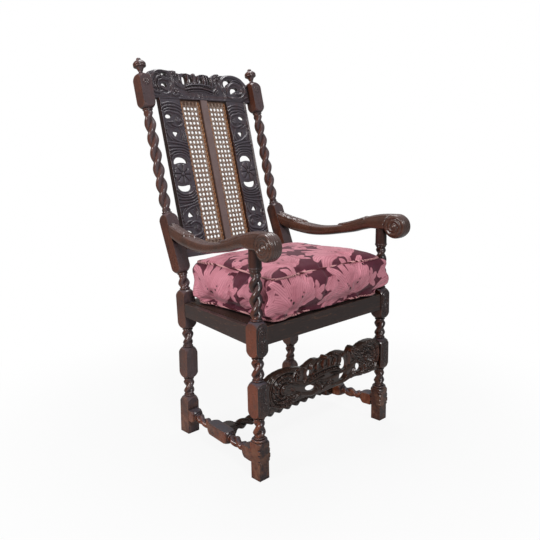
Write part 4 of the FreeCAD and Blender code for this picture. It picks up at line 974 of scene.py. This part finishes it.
def armRelief(outline, centres, girth, reach, wide):
    # Heights over the unrolled arm: leaves at both ends, a collar and reeds over the front, a sunk
    # ground and, on the scroll's flanks, a spiral volute round a button
    reeds, ground, collar = armCarving["reeds"], armCarving["ground"], armCarving["collar"]
    volute, eye = armCarving["volute"], armCarving["eye"]
    run = np.repeat(runLength(outline)[:, None], girth.shape[1], 1)
    field = Relief(run, girth)
    for side in (-1, 1):
        for path, width, height in armCarving["sideLeaves"]:
            field.leaf([(place, side * across) for place, across in path], width, height, 4)
    for path, width, height in armCarving["middleLeaves"]:
        field.leaf(path, width, height)
    over = soften((run - reeds["from"]) / 30) * soften((reeds["to"] - run) / 20)
    over = over * soften((reeds["reach"] - np.abs(girth)) / 4)
    ribs = reeds["height"] * np.abs(np.sin(np.pi * girth / reeds["pitch"])) ** 0.6
    height = np.maximum(field.height * (1 - over), ribs * over)
    height = np.where(height > 0.3, height, -ground["sunk"] * soften((ground["to"] - run) / 40))
    ring = np.exp(-((run - collar["run"]) / collar["half"]) ** 2)
    height = height + collar["height"] * ring * (np.abs(girth) < collar["reach"])
    spoke = outline - centres
    y = centres[:, :1] + spoke[:, :1] * reach - arm["eye"][0]
    z = centres[:, 1:] + spoke[:, 1:] * reach - arm["eye"][1]
    rho, theta = np.hypot(y, z), np.arctan2(z, y)
    spiral = np.abs(np.sin(np.pi * (rho / volute["pitch"] - theta / (2 * np.pi) + volute["start"])))
    spiral = volute["height"] * np.sqrt(spiral) - volute["sunk"]
    button = eye["height"] * np.sqrt(np.clip(1 - (rho / eye["radius"]) ** 2, 0, 1))
    scroll = np.where(rho < eye["radius"], button, spiral)
    flank = soften((wide - 0.74) / 0.18)
    return height * (1 - flank) + scroll * flank * soften((volute["reach"] - rho) / 6)


def makeArm(word, side):
    # The section is |x|^power + |reach|^power = 1, boxier over the post's seat and on the scroll
    outline, centres = armOutline()
    seated = np.exp(-(((outline[:, 0] - 4) / 30) ** 4)) * (outline[:, 1] < arm["eye"][1])
    boxy = soften((20 - outline[:, 0]) / 60) * (1 - seated)
    power = (arm["round"] + (arm["seat"] - arm["round"]) * seated + arm["boxy"] * boxy)[:, None]
    u = np.linspace(-1, 1, arm["across"])[None, :]
    near, far = np.abs(u) ** (power / 2), (1 - np.abs(u)) ** (power / 2)
    phi = np.sign(u) * np.pi / 2 * near / (near + far)   # spreads the columns evenly round the section
    wide = np.sign(u) * np.abs(np.sin(phi)) ** (2 / power)
    reach = np.abs(np.cos(phi)) ** (2 / power)
    spoke = outline - centres
    length = np.linalg.norm(spoke, axis=1)[:, None]
    x = arm["half"] * wide
    step = np.hypot(np.diff(x, axis=1), np.diff(reach * length, axis=1))
    girth = np.concatenate([np.zeros((len(x), 1)), np.cumsum(step, 1)], 1)
    girth -= girth[:, -1:] / 2
    height = armRelief(outline, centres, girth, reach, np.abs(wide))
    away = reach / length ** 2
    out = np.stack([x / arm["half"] ** 2, spoke[:, :1] * away, spoke[:, 1:] * away], -1)
    out /= np.maximum(np.linalg.norm(out, axis=2, keepdims=True), 1e-6)
    points = np.stack([x, centres[:, :1] + spoke[:, :1] * reach, centres[:, 1:] + spoke[:, 1:] * reach], -1)
    points += out * height[..., None]
    points[..., 0] += side * (arm["rear"] - arm["taper"] * points[..., 1])
    rows, columns = x.shape
    rearCap = np.concatenate([np.arange(columns), (np.arange(columns) + (rows - 1) * columns)[::-1]])
    piece = addMesh("armCarved_" + word, points * mm + buildLine, [gridFaces(rows, columns), rearCap[None]],
                    armOak)
    tidyMesh(piece, 0.00005)
    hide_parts("arm_" + word)


for word, side in sides:
    makeArm(word, side)
print("arms carved")

# Loose cushion: a box form that tapers to the rear, swollen by a short cloth simulation, with piping
# in its two seams and a woven leaf pattern laid out afresh on each of its panels

cushion = {"front": -42.0, "rear": 370.0, "frontHalf": 262.0, "rearHalf": 250.0, "bow": 7.0, "bottom": 469.5,
           "topSeam": 597.0, "sideSeam": 606.0, "bottomSeam": 476.0, "crown": 634.0, "shrink": 7.0,
           "voxel": 0.006, "pressure": 4.0, "swell": 24.0, "frames": 20, "quality": 5, "stiffness": 12,
           "bending": 0.6, "piping": 3.2, "cornerPower": 0.16, "planPower": 9,
           "low": (-270, -47, 469), "high": (270, 378, 634),
           "profile": [(468, 0.965), (473, 0.995), (482, 1.005), (540, 1.02), (585, 1.01), (597, 0.995),
                       (606, 0.985), (615, 0.955)],
           # share of the plan and height above the bottom, then share and depth below the crown
           "sideRings": [(0.02, 0), (0.5, 0), (0.9, 0), (0.965, 1), (0.985, 5), (0.99, 20), (1.0, 45),
                         (1.005, 75), (1.0, 100), (0.985, 120), (0.965, 130), (0.93, 137)],
           "topRings": [(0.82, 14), (0.66, 7), (0.45, 3), (0.24, 1), (0.02, 0)]}
cushion["middle"] = (cushion["front"] + cushion["rear"]) / 2
cushion["halfDepth"] = (cushion["rear"] - cushion["front"]) / 2
# Slack of the cover in millimetres: how far it puffs, folds, sinks at seams and bulges at corners,
# then where these begin, from the middle or the build line, and the width over which they grow
slack = {"puff": 5.0, "fold": 1.3, "ruck": 1.1, "pinch": 2.4, "seamHalf": 3.2, "frontCorner": 46,
         "forward": 4, "rearCorner": 13, "postGap": 265.8, "widest": 292, "floor": 468.4, "floorEdge": 2.5,
         "flanks": ((215, 45), (170, 38)), "seams": ((200, 60), (150, 60)), "fronts": ((205, 40), (20.5, 9)),
         "rears": ((190, 40), (315, 45)), "posts": (-25, 34), "plan": (262, 212)}


def halfWidth(v):
    # Half width of the plan, where v runs from -1 in front to 1 behind
    return cushion["frontHalf"] + (cushion["rearHalf"] - cushion["frontHalf"]) * (v + 1) / 2


def cushionRing(share, count=240):
    # Rounded trapezoid seen from above, as shares of its half widths, bowed in front and behind
    u, v = (np.sign(way) * np.abs(way) ** cushion["cornerPower"] for way in circle(count))
    y = v * (cushion["halfDepth"] + cushion["bow"] * (1 - u ** 2))
    return np.stack([halfWidth(v) * u * share, cushion["middle"] + y * share], -1)


def cushionForm(shrink):
    # Rings from the middle of the bottom over the sides to the middle of the top
    low, high = cushion["bottom"] + shrink, cushion["crown"] - shrink
    rows = [(share, low + rise) for share, rise in cushion["sideRings"]]
    rows += [(share, high - drop) for share, drop in cushion["topRings"]]
    size = 1 - shrink / cushion["frontHalf"]
    rings = []
    for share, height in rows:
        ring = (cushionRing(share) - [0, cushion["middle"]]) * size + [0, cushion["middle"]]
        rings.append(np.column_stack([ring, np.full(len(ring), height)]))
    points, faces = ringMesh([np.stack(rings)])
    return points, [group[:, ::-1] for group in faces]


def evaluated(piece):
    # A copy of the piece's mesh with its modifiers applied
    graph = bpy.context.evaluated_depsgraph_get()
    return bpy.data.meshes.new_from_object(piece.evaluated_get(graph))


def swollen(name, points, faces):
    # Voxel remesh, then cloth with inner pressure and no gravity; each point moves at most the swell
    body = addObject(name, makeMesh(name, points * mm, faces))
    remesh = body.modifiers.new("remesh", "REMESH")
    remesh.mode, remesh.voxel_size = "VOXEL", cushion["voxel"]
    start = evaluated(body)
    body.modifiers.clear()
    body.data = start
    rest = readAll(start.vertices, "co")
    moved = rest
    cloth = body.modifiers.new("cloth", "CLOTH")
    cloth.settings.quality = cushion["quality"]
    cloth.settings.use_pressure = True
    cloth.settings.uniform_pressure_force = cushion["pressure"]
    cloth.settings.effector_weights.gravity = 0
    cloth.settings.tension_stiffness = cloth.settings.compression_stiffness = cushion["stiffness"]
    cloth.settings.bending_stiffness = cushion["bending"]
    cloth.point_cache.frame_start, cloth.point_cache.frame_end = 1, cushion["frames"]
    for step in range(1, cushion["frames"] + 1):
        bpy.context.scene.frame_set(step)
    moved = readAll(evaluated(body).vertices, "co")
    body.modifiers.clear()
    bpy.context.scene.frame_set(1)
    way = moved - rest
    far = np.linalg.norm(way, axis=1)[:, None]
    cap = cushion["swell"] * mm
    moved = rest + way * np.where(far > cap, cap / np.maximum(far, 1e-9), 1)
    body.data.vertices.foreach_set("co", moved.ravel())
    smoother = body.modifiers.new("smooth", "SUBSURF")
    smoother.levels = smoother.render_levels = 1
    final = evaluated(body)
    bpy.data.objects.remove(body)
    print("cushion swollen by up to", round(float(far.max()) / mm, 1), "mm", len(final.vertices), "points")
    return final


def seamHeights(y):
    # Heights of the bottom and the top seam at a depth: the top one rises from the front
    rear = np.clip((y - cushion["front"]) / (cushion["rear"] - cushion["front"]), 0, 1)
    top = cushion["topSeam"] + (cushion["sideSeam"] - cushion["topSeam"]) * np.clip(rear * 3, 0, 1)
    return np.full_like(y, cushion["bottomSeam"]), top - 3 * np.exp(-((rear - 0.5) / 0.3) ** 2)


def boxed(p):
    # The swollen form's sides are set out at every height to the profile of a boxed cushion: the
    # share of the plan ring reached at a height is stretched to the wanted share
    power, band = cushion["planPower"], 4
    v = (p[:, 1] - cushion["middle"]) / (cushion["halfDepth"] + 5)
    share = (np.abs(p[:, 0] / halfWidth(v)) ** power + np.abs(v) ** power) ** (1 / power)
    levels = np.arange(cushion["profile"][0][0], cushion["profile"][-1][0] + 1, 3.0)
    reached = np.array([share[np.abs(p[:, 2] - level) < band].max() for level in levels])
    reached = np.convolve(np.pad(reached, 2, "edge"), np.ones(5) / 5, "valid")
    wanted = np.interp(levels, *zip(*cushion["profile"]))
    factor = np.interp(p[:, 2], np.append(levels, cushion["crown"]), np.append(wanted / reached, 1.0))
    plan = (p[:, :2] - [0, cushion["middle"]]) * factor[:, None] + [0, cushion["middle"]]
    return np.column_stack([plan, p[:, 2]])


def beyond(values, zone):
    # 0 within the zone's start, growing over its width to 1 or -1, the side on which a value lies
    return np.sign(values) * soften((np.abs(values) - zone[0]) / zone[1])


def settleCushion(p):
    # In millimetres from the build line: slack folds, pinched seams, corners that bulge round the
    # front posts, and a flat bottom; nothing comes nearer to a post than its turning
    x, y, z = p.T.copy()
    middle = cushion["middle"]
    low, top = seamHeights(y)
    belly = np.sin(np.pi * np.clip((z - low) / (top - low), 0, 1))
    edge = np.maximum(np.abs(x) / slack["plan"][0], np.abs(y - middle) / slack["plan"][1])
    # long waves on the border, shallow ones over the top
    fold = np.sin(x / 31 + z / 22 + 1.3) * np.sin(z / 37 + y / 60) + 0.6 * np.sin(y / 19 - z / 26 + x / 90)
    ruck = np.sin(x / 47 + 0.8 * np.sin(y / 38)) * np.cos(y / 33 + 0.5 * np.sin(x / 60))
    push = (slack["puff"] + slack["fold"] * fold) * belly
    x += push * beyond(x, slack["flanks"][0])
    y += push * beyond(y - middle, slack["flanks"][1])
    z += np.where(z > top, slack["ruck"] * ruck * soften((z - top) / 12), 0)
    for seam in (low, top):
        pinch = slack["pinch"] * np.exp(-((z - seam) / slack["seamHalf"]) ** 2) * soften((edge - 0.85) / 0.1)
        x -= pinch * beyond(x, slack["seams"][0])
        y -= pinch * beyond(y - middle, slack["seams"][1])
    full = 0.62 + 0.38 * np.sin(np.pi * np.clip((z - low + 14) / (top - low + 36), 0, 1))
    front = full * np.maximum(-beyond(y, slack["fronts"][1]), 0)
    corner = beyond(x, slack["fronts"][0])
    x += slack["frontCorner"] * front * corner * soften((z - 469) / 10)
    y -= slack["forward"] * front * np.abs(corner)
    rear = full * np.maximum(beyond(y, slack["rears"][1]), 0)
    x += slack["rearCorner"] * rear * beyond(x, slack["rears"][0])
    beside = (y > slack["posts"][0]) & (y < slack["posts"][1])
    x = np.where(beside, np.clip(x, -slack["postGap"], slack["postGap"]), x)
    x = np.clip(x, -slack["widest"], slack["widest"])
    floor = slack["floor"] + slack["floorEdge"] * soften((edge - 0.9) / 0.1)
    return np.column_stack([x, y, np.where(z < 480, np.maximum(z, floor), z)])


# The woven leaves. Each petal is a path whose direction turns steadily, from a root; a repeat of
# the cloth is one tile. Later petals lie over earlier ones.

weave = {"tile": (262.0, 236.0), "fields": ("leafEdge", "leafVein", "leafTone", "leafSeed"),
         "top": (40, 12), "stretch": 1.04, "front": (58, -470), "side": (52, 76), "piping": (4.2, 1.6),
         "seeds": [(138, 52, 4.2), (128, 62, 3.0), (121, 70, 2.2), (171, 66, 3.4), (177, 78, 2.6),
                   (66, 142, 3.6), (58, 133, 2.4), (214, 118, 3.0), (98, 210, 3.0), (20, 60, 3.2),
                   (14, 50, 2.2)]}
# Root, first and last angle of a fan, then length, half width and curl of each of its petals. The
# fourth is the great turned leaf and the sixth the upright fan beside it.
weave["fans"] = [
    ((150, 196), (150, 20), (70, 62, 70, 66, 74), (9, 10, 11, 10, 9), (70, 40, 0, -40, -75)),
    ((30, 214), (200, 330), (52, 56, 60, 54), (9, 10, 10, 8), (40, 20, -20, -40)),
    ((222, 150), (250, 100), (48, 58, 62, 54), (9, 10, 10, 9), (-50, -20, 20, 50)),
    ((146, 34), (178, 92), (148, 140, 132, 128, 120, 112), (15, 14, 13, 13, 12, 12),
     (74, 62, 50, 26, 6, -14)),
    ((60, 100), (215, 280), (46, 40, 34), (10, 9, 8), (30, 10, -20)),
    ((158, 30), (10, 84), (88, 104, 116, 112), (12, 13, 14, 13), (58, 40, 10, -24)),
    ((232, 62), (60, -20), (40, 44, 38), (8, 9, 8), (40, 20, -30)),
    ((92, 152), (120, 60), (44, 50, 44), (9, 10, 9), (30, 0, -30)),
    ((196, 128), (120, 20), (46, 52, 54, 48), (9, 10, 10, 9), (60, 20, -20, -50)),
    ((150, 32), (205, 335), (34, 40, 36), (8, 9, 8), (-50, 0, 50))]


def petalPath(root, angle, length, curl, count=9):
    # The direction turns from the angle by the curl, slowly at first
    t = np.linspace(0, 1, count)
    way = np.radians(angle) + np.radians(curl) * t ** 1.3
    step = np.stack([np.cos(way), np.sin(way)], -1) * length / (count - 1)
    return np.asarray(root) + np.vstack([[0, 0], np.cumsum(step[:-1], 0)])


def wovenPetals():
    # (path, half width) of every petal of one tile, in the order in which they are laid
    return [(petalPath(root, angle, length, curl), half)
            for root, turn, lengths, halves, curls in weave["fans"]
            for angle, length, half, curl in zip(np.linspace(*turn, len(lengths)), lengths, halves, curls)]


def wovenFields(u, v):
    # For places on the cloth in millimetres: how far inside the uppermost petal they lie (less than
    # zero on the ground), the petal's vein phase and its tone, and the distance to the nearest seed
    tile = np.array(weave["tile"])
    u, v = np.mod(u, tile[0]), np.mod(v, tile[1])
    repeats = [tile * (i, j) for i in (-1, 0, 1) for j in (-1, 0, 1)]
    inside, vein, tone, seeds = (np.full(u.shape, value) for value in (-9.0, 0.0, 0.0, 9.0))
    for number, (path, half) in enumerate(wovenPetals()):
        t = np.linspace(0, 1, len(path))
        span = half * 1.22 * (0.3 + 0.7 * np.sin(np.pi * np.clip(t * 0.78 + 0.1, 0, 1)) ** 0.8)
        span = span * (1 + 0.13 * np.cos(2 * np.pi * 2.5 * t))
        for repeat in repeats:
            line = path + repeat
            pick = np.nonzero(within(u, v, line.min(0) - half - 8, line.max(0) + half + 8))[0]
            x, z = u[pick], v[pick]
            depth, offset, along = (np.full(x.shape, value) for value in (-9.0, 0.0, 0.0))
            for k, (a, b) in enumerate(zip(line[:-1], line[1:])):
                share, dx, dz = toSegment(x, z, a, b)
                far = np.hypot(dx, dz)
                here = span[k] + (span[k + 1] - span[k]) * share - far
                near = here > depth
                depth = np.where(near, here, depth)
                offset = np.where(near, sideOf(a, b, dx, dz) * far / half, offset)
                along = np.where(near, (k + share) / (len(line) - 1), along)
            over = depth > 0
            ground = np.maximum(inside[pick], np.where(inside[pick] > 0, -9, depth))
            shade = 0.13 + 0.5 * along + 0.3 * ((number * 0.618) % 1.0)
            inside[pick] = np.where(over, depth, ground)
            vein[pick] = np.where(over, offset * 1.9 + 0.25 * along, vein[pick])
            tone[pick] = np.where(over, shade, tone[pick])
    for cu, cv, radius in weave["seeds"]:
        for i, j in repeats:
            seeds = np.minimum(seeds, np.hypot(u - cu - i, (v - cv - j) * 0.75) - radius)
    return inside, vein, tone, seeds


clothTones = {"leaf": (0.60, 0.235, 0.29, 1), "shade": (0.40, 0.125, 0.165, 1),
              "vein": (0.24, 0.050, 0.075, 1), "ground": (0.075, 0.007, 0.014, 1), "plum": (0.10, 0.022,
                                                                                            0.045, 1),
              "seed": (0.022, 0.003, 0.006, 1), "cord": (0.62, 0.30, 0.31, 1)}


def damask(name, piping=False):
    # Satin leaves on a ribbed burgundy ground; veins and outlines are a darker weave. The piping
    # is cut across the cloth, so that leaf and ground follow each other in slanted bands.
    cloth = Nodes(name, 0.55, sheen=0.12, sheenRoughness=0.4, specular=0.25)
    edge, phase, tone, gap = (cloth.add("ShaderNodeAttribute", attribute_name=key).outputs["Fac"]
                              for key in weave["fields"])
    place = cloth.add("ShaderNodeUVMap", uv_map="cloth").outputs[0]
    plain = cloth.coords()
    patch = cloth.noise(plain, 18, 3, 0.55)
    leaf = cloth.ramp(edge, 0.0, 0.9)
    wave = cloth.maths("SINE", cloth.times(phase, 2 * math.pi))
    vein = cloth.times(cloth.ramp(wave, 0.62, 0.98), cloth.ramp(edge, 1.0, 3.2))
    rim = cloth.less(1.0, cloth.ramp(edge, 0.5, 2.0))
    tone = cloth.plus(tone, cloth.times(patch, 0.5))
    pink = cloth.mix(cloth.ramp(tone, 0.25, 1.05), clothTones["shade"], clothTones["leaf"])
    pink = cloth.mix(cloth.times(vein, 0.62), pink, clothTones["vein"])
    pink = cloth.mix(cloth.times(rim, 0.55), pink, clothTones["vein"])
    ground = cloth.mix(patch, clothTones["ground"], clothTones["plum"])
    base = cloth.mix(leaf, ground, pink)
    base = cloth.mix(cloth.less(1.0, cloth.ramp(gap, -0.4, 0.4)), base, clothTones["seed"])
    if piping:
        way = cloth.add("ShaderNodeSeparateXYZ", {0: place}).outputs
        turn = cloth.plus(cloth.times(way[0], 700.0), cloth.times(way[1], 392.7))
        lay = cloth.plus(cloth.maths("SINE", turn), cloth.noise(plain, 60, 2, 0.5))
        base = cloth.mix(cloth.ramp(lay, 0.35, 0.75), clothTones["cord"], clothTones["ground"])
    warp = cloth.add("ShaderNodeMapping", {"Vector": place, "Rotation": (0, 0, 0.6)}).outputs[0]
    rib = cloth.add("ShaderNodeTexWave", {"Vector": warp, "Scale": 420.0, "Distortion": 0.6, "Detail": 1.0})
    rib = rib.outputs["Fac"]
    base = cloth.mix(cloth.times(rib, 0.16), base, clothTones["seed"])
    height = cloth.plus(cloth.times(leaf, 0.9), cloth.times(rib, 0.5))
    height = cloth.less(height, cloth.times(vein, 0.6))
    height = cloth.plus(height, cloth.times(cloth.noise(place, 900, 3, 0.6), 0.4))
    return cloth.finish(base, height, 0.35, 0.0006, cloth.less(0.72, cloth.times(leaf, 0.2)))


def layCloth(mesh):
    # Marks every point with the weave of its panel and gives every face its place on the cloth
    x, y, z = (readAll(mesh.vertices, "co") / mm - buildLine / mm).T
    normal = readAll(mesh.vertex_normals, "vector")
    low, top = seamHeights(y)
    flat = (z > top) | (z < low)
    across = ~flat & (np.abs(normal[:, 0]) > np.abs(normal[:, 1]))
    side = np.sign(x) * (y - weave["side"][0]) + weave["side"][1]
    u = np.where(flat, x + weave["top"][0], np.where(across, side, x + weave["front"][0]))
    v = np.where(flat, y * weave["stretch"] + weave["top"][1], z + weave["front"][1])
    for key, values in zip(weave["fields"], wovenFields(u, v)):
        mesh.attributes.new(key, "FLOAT", "POINT").data.foreach_set("value", values.astype(np.float32))
    corners = readAll(mesh.loops, "vertex_index", 1, int)[:, 0]
    mesh.uv_layers.new(name="cloth").data.foreach_set("uv", (np.stack([u, v], -1)[corners] * mm).ravel())


def makeCushion():
    points, faces = cushionForm(cushion["shrink"])
    mesh = swollen("cushionBody", points + buildLine / mm, faces)
    p = readAll(mesh.vertices, "co") / mm - buildLine / mm
    low, high = np.array(cushion["low"], float), np.array(cushion["high"], float)
    p = low + (p - p.min(0)) * (high - low) / (p.max(0) - p.min(0))
    p = settleCushion(boxed(p)) * mm + buildLine
    mesh.vertices.foreach_set("co", p.ravel())
    mesh.update()
    layCloth(mesh)
    mesh.materials.clear()
    mesh.materials.append(damask("leafDamask"))
    mesh.polygons.foreach_set("use_smooth", [True] * len(mesh.polygons))
    body = addObject("cushionBody", mesh)
    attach(body, "cushion")
    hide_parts("cushion")
    return body


def seamPath(body, top, radius):
    # Rays from outside to the middle find the seam on the settled cushion
    ring, outside = cushionRing(1.0, 420), 0.12
    heights = seamHeights(ring[:, 1])[1 if top else 0]
    path = []
    for (x, y), z in zip(ring, heights):
        place = Vector((x, y, z)) * mm + Vector(buildLine)
        middle = Vector((0, cushion["middle"], z)) * mm + Vector(buildLine)
        outwards = (place - middle).normalized()
        hit, place, normal, index = body.ray_cast(place + outwards * outside, -outwards)
        if hit:
            path.append(place + normal * radius * 0.5)
    path = np.array(path)
    for turn in range(3):
        path = (np.roll(path, 1, 0) + 2 * path + np.roll(path, -1, 0)) / 4
    return path


def seamPiping(body, name, top, material):
    # A tube along the seam, whose bands follow its length and its girth
    radius, count = cushion["piping"] * mm, 10
    path = seamPath(body, top, radius)
    way = np.roll(path, -1, 0) - np.roll(path, 1, 0)
    way /= np.linalg.norm(way, axis=1)[:, None]
    side = np.cross(way, [0, 0, 1])
    side /= np.linalg.norm(side, axis=1)[:, None]
    up = np.cross(side, way)
    cosine, sine = (values[None, :, None] for values in circle(count))
    tube = path[:, None] + radius * (cosine * side[:, None] + sine * up[:, None])
    piece = addMesh(name, tube, [gridFaces(len(path), count, True, True)], material, "cushion")
    tidyMesh(piece)
    corners = readAll(piece.data.loops, "vertex_index", 1, int)[:, 0]
    along, around = (corners // count).reshape(-1, 4), (corners % count).reshape(-1, 4)
    along = np.where((along == 0) & (along.max(1) > 1)[:, None], len(path), along)
    around = np.where((around == 0) & (around.max(1) > 1)[:, None], count, around)
    uv = np.stack([along.ravel(), around.ravel()], -1) * weave["piping"] * mm
    piece.data.uv_layers.new(name="cloth").data.foreach_set("uv", uv.ravel())


cushionBody = makeCushion()
pipingMaterial = damask("leafDamaskPiping", piping=True)
seamPiping(cushionBody, "cushionPiping_top", True, pipingMaterial)
seamPiping(cushionBody, "cushionPiping_bottom", False, pipingMaterial)
print("cushion made")

# Stage, light and camera

studio = {"floor": 6.0, "drop": -0.0005, "grey": 0.5, "near": 0.5, "far": 1.4, "nearShare": 0.9,
          "world": 0.28}
lamps = {"key": {"place": (-1.2, -2.6, 2.4), "size": 1.0, "power": 62},
         "left": {"place": (-2.7, 0.1, 1.5), "size": 0.9, "power": 46},
         "top": {"place": (0.4, 0.5, 3.0), "size": 1.2, "power": 44}}
lampTarget = Vector((0, 0, 0.6))
view = {"place": (-1.396, frontAxis - 1.239, 0.951), "yaw": 43.17, "pitch": 10.95, "roll": -1.17,
        "focalPixels": 606.8, "imagePixels": 540, "sensor": 36.0}


def stage():
    # The camera sees a white floor; only near the chair does a share of its shadow show
    pale = Nodes("paleFloor", 0.9, specular=0.1)
    pale.shader.inputs["Base Color"].default_value = (studio["grey"],) * 3 + (1,)
    white = pale.add("ShaderNodeEmission", {"Color": (1, 1, 1, 1), "Strength": 1.0})
    place = pale.add("ShaderNodeTexCoord").outputs["Object"]
    away = pale.add("ShaderNodeVectorMath", {0: place}, operation="LENGTH").outputs["Value"]
    near = studio["nearShare"]
    share = pale.maths("MULTIPLY_ADD", pale.ramp(away, studio["near"], studio["far"]), 1 - near, near)
    share = pale.times(share, pale.add("ShaderNodeLightPath").outputs["Is Camera Ray"])
    mix = pale.add("ShaderNodeMixShader", {0: share, 1: pale.shader.outputs[0], 2: white.outputs[0]})
    pale.tree.links.new(mix.outputs[0], pale.tree.nodes["Material Output"].inputs[0])
    corners = studio["floor"] * np.array([(-1, -1, 0), (1, -1, 0), (1, 1, 0), (-1, 1, 0)])
    corners[:, 2] = studio["drop"]
    addMesh("floor", corners, [[(0, 1, 2, 3)]], pale.material, body=None, smooth=False)


def sky():
    # Pure white to the camera and dimmer as a light
    world = bpy.data.worlds.new("studio")
    bpy.context.scene.world = world
    world.use_nodes = True
    tree = world.node_tree
    mix = tree.nodes.new("ShaderNodeMixShader")
    dim, bright = tree.nodes["Background"], tree.nodes.new("ShaderNodeBackground")
    for number, (background, strength) in enumerate(((dim, studio["world"]), (bright, 1.0))):
        background.inputs["Color"].default_value = (1, 1, 1, 1)
        background.inputs["Strength"].default_value = strength
        tree.links.new(background.outputs[0], mix.inputs[number + 1])
    tree.links.new(tree.nodes.new("ShaderNodeLightPath").outputs["Is Camera Ray"], mix.inputs[0])
    tree.links.new(mix.outputs[0], tree.nodes["World Output"].inputs[0])


def light():
    for name, lamp in lamps.items():
        data = bpy.data.lights.new(name, "AREA")
        data.size = lamp["size"]
        data.energy = lamp["power"]
        item = addObject(name, data)
        item.location = lamp["place"]
        item.rotation_euler = (lampTarget - item.location).to_track_quat("-Z", "Y").to_euler()


def camera():
    # Yaw turns from +Y towards +X, pitch looks down, roll turns about the line of sight
    yaw, pitch, roll = (math.radians(view[key]) for key in ("yaw", "pitch", "roll"))
    forward = Vector((math.sin(yaw) * math.cos(pitch), math.cos(yaw) * math.cos(pitch), -math.sin(pitch)))
    right = Vector((math.cos(yaw), -math.sin(yaw), 0))
    up = right.cross(forward)
    right, up = (right * math.cos(roll) + up * math.sin(roll), up * math.cos(roll) - right * math.sin(roll))
    data = bpy.data.cameras.new("camera")
    data.sensor_fit = "HORIZONTAL"
    data.sensor_width = view["sensor"]
    data.lens = view["focalPixels"] * view["sensor"] / view["imagePixels"]
    item = addObject("camera", data)
    turned = Matrix((right, up, -forward)).transposed().to_4x4()
    item.matrix_world = Matrix.Translation(view["place"]) @ turned
    bpy.context.scene.camera = item
    bpy.context.scene.view_settings.view_transform = "Standard"


stage()
sky()
light()
camera()
print("stage, lamps and camera placed")
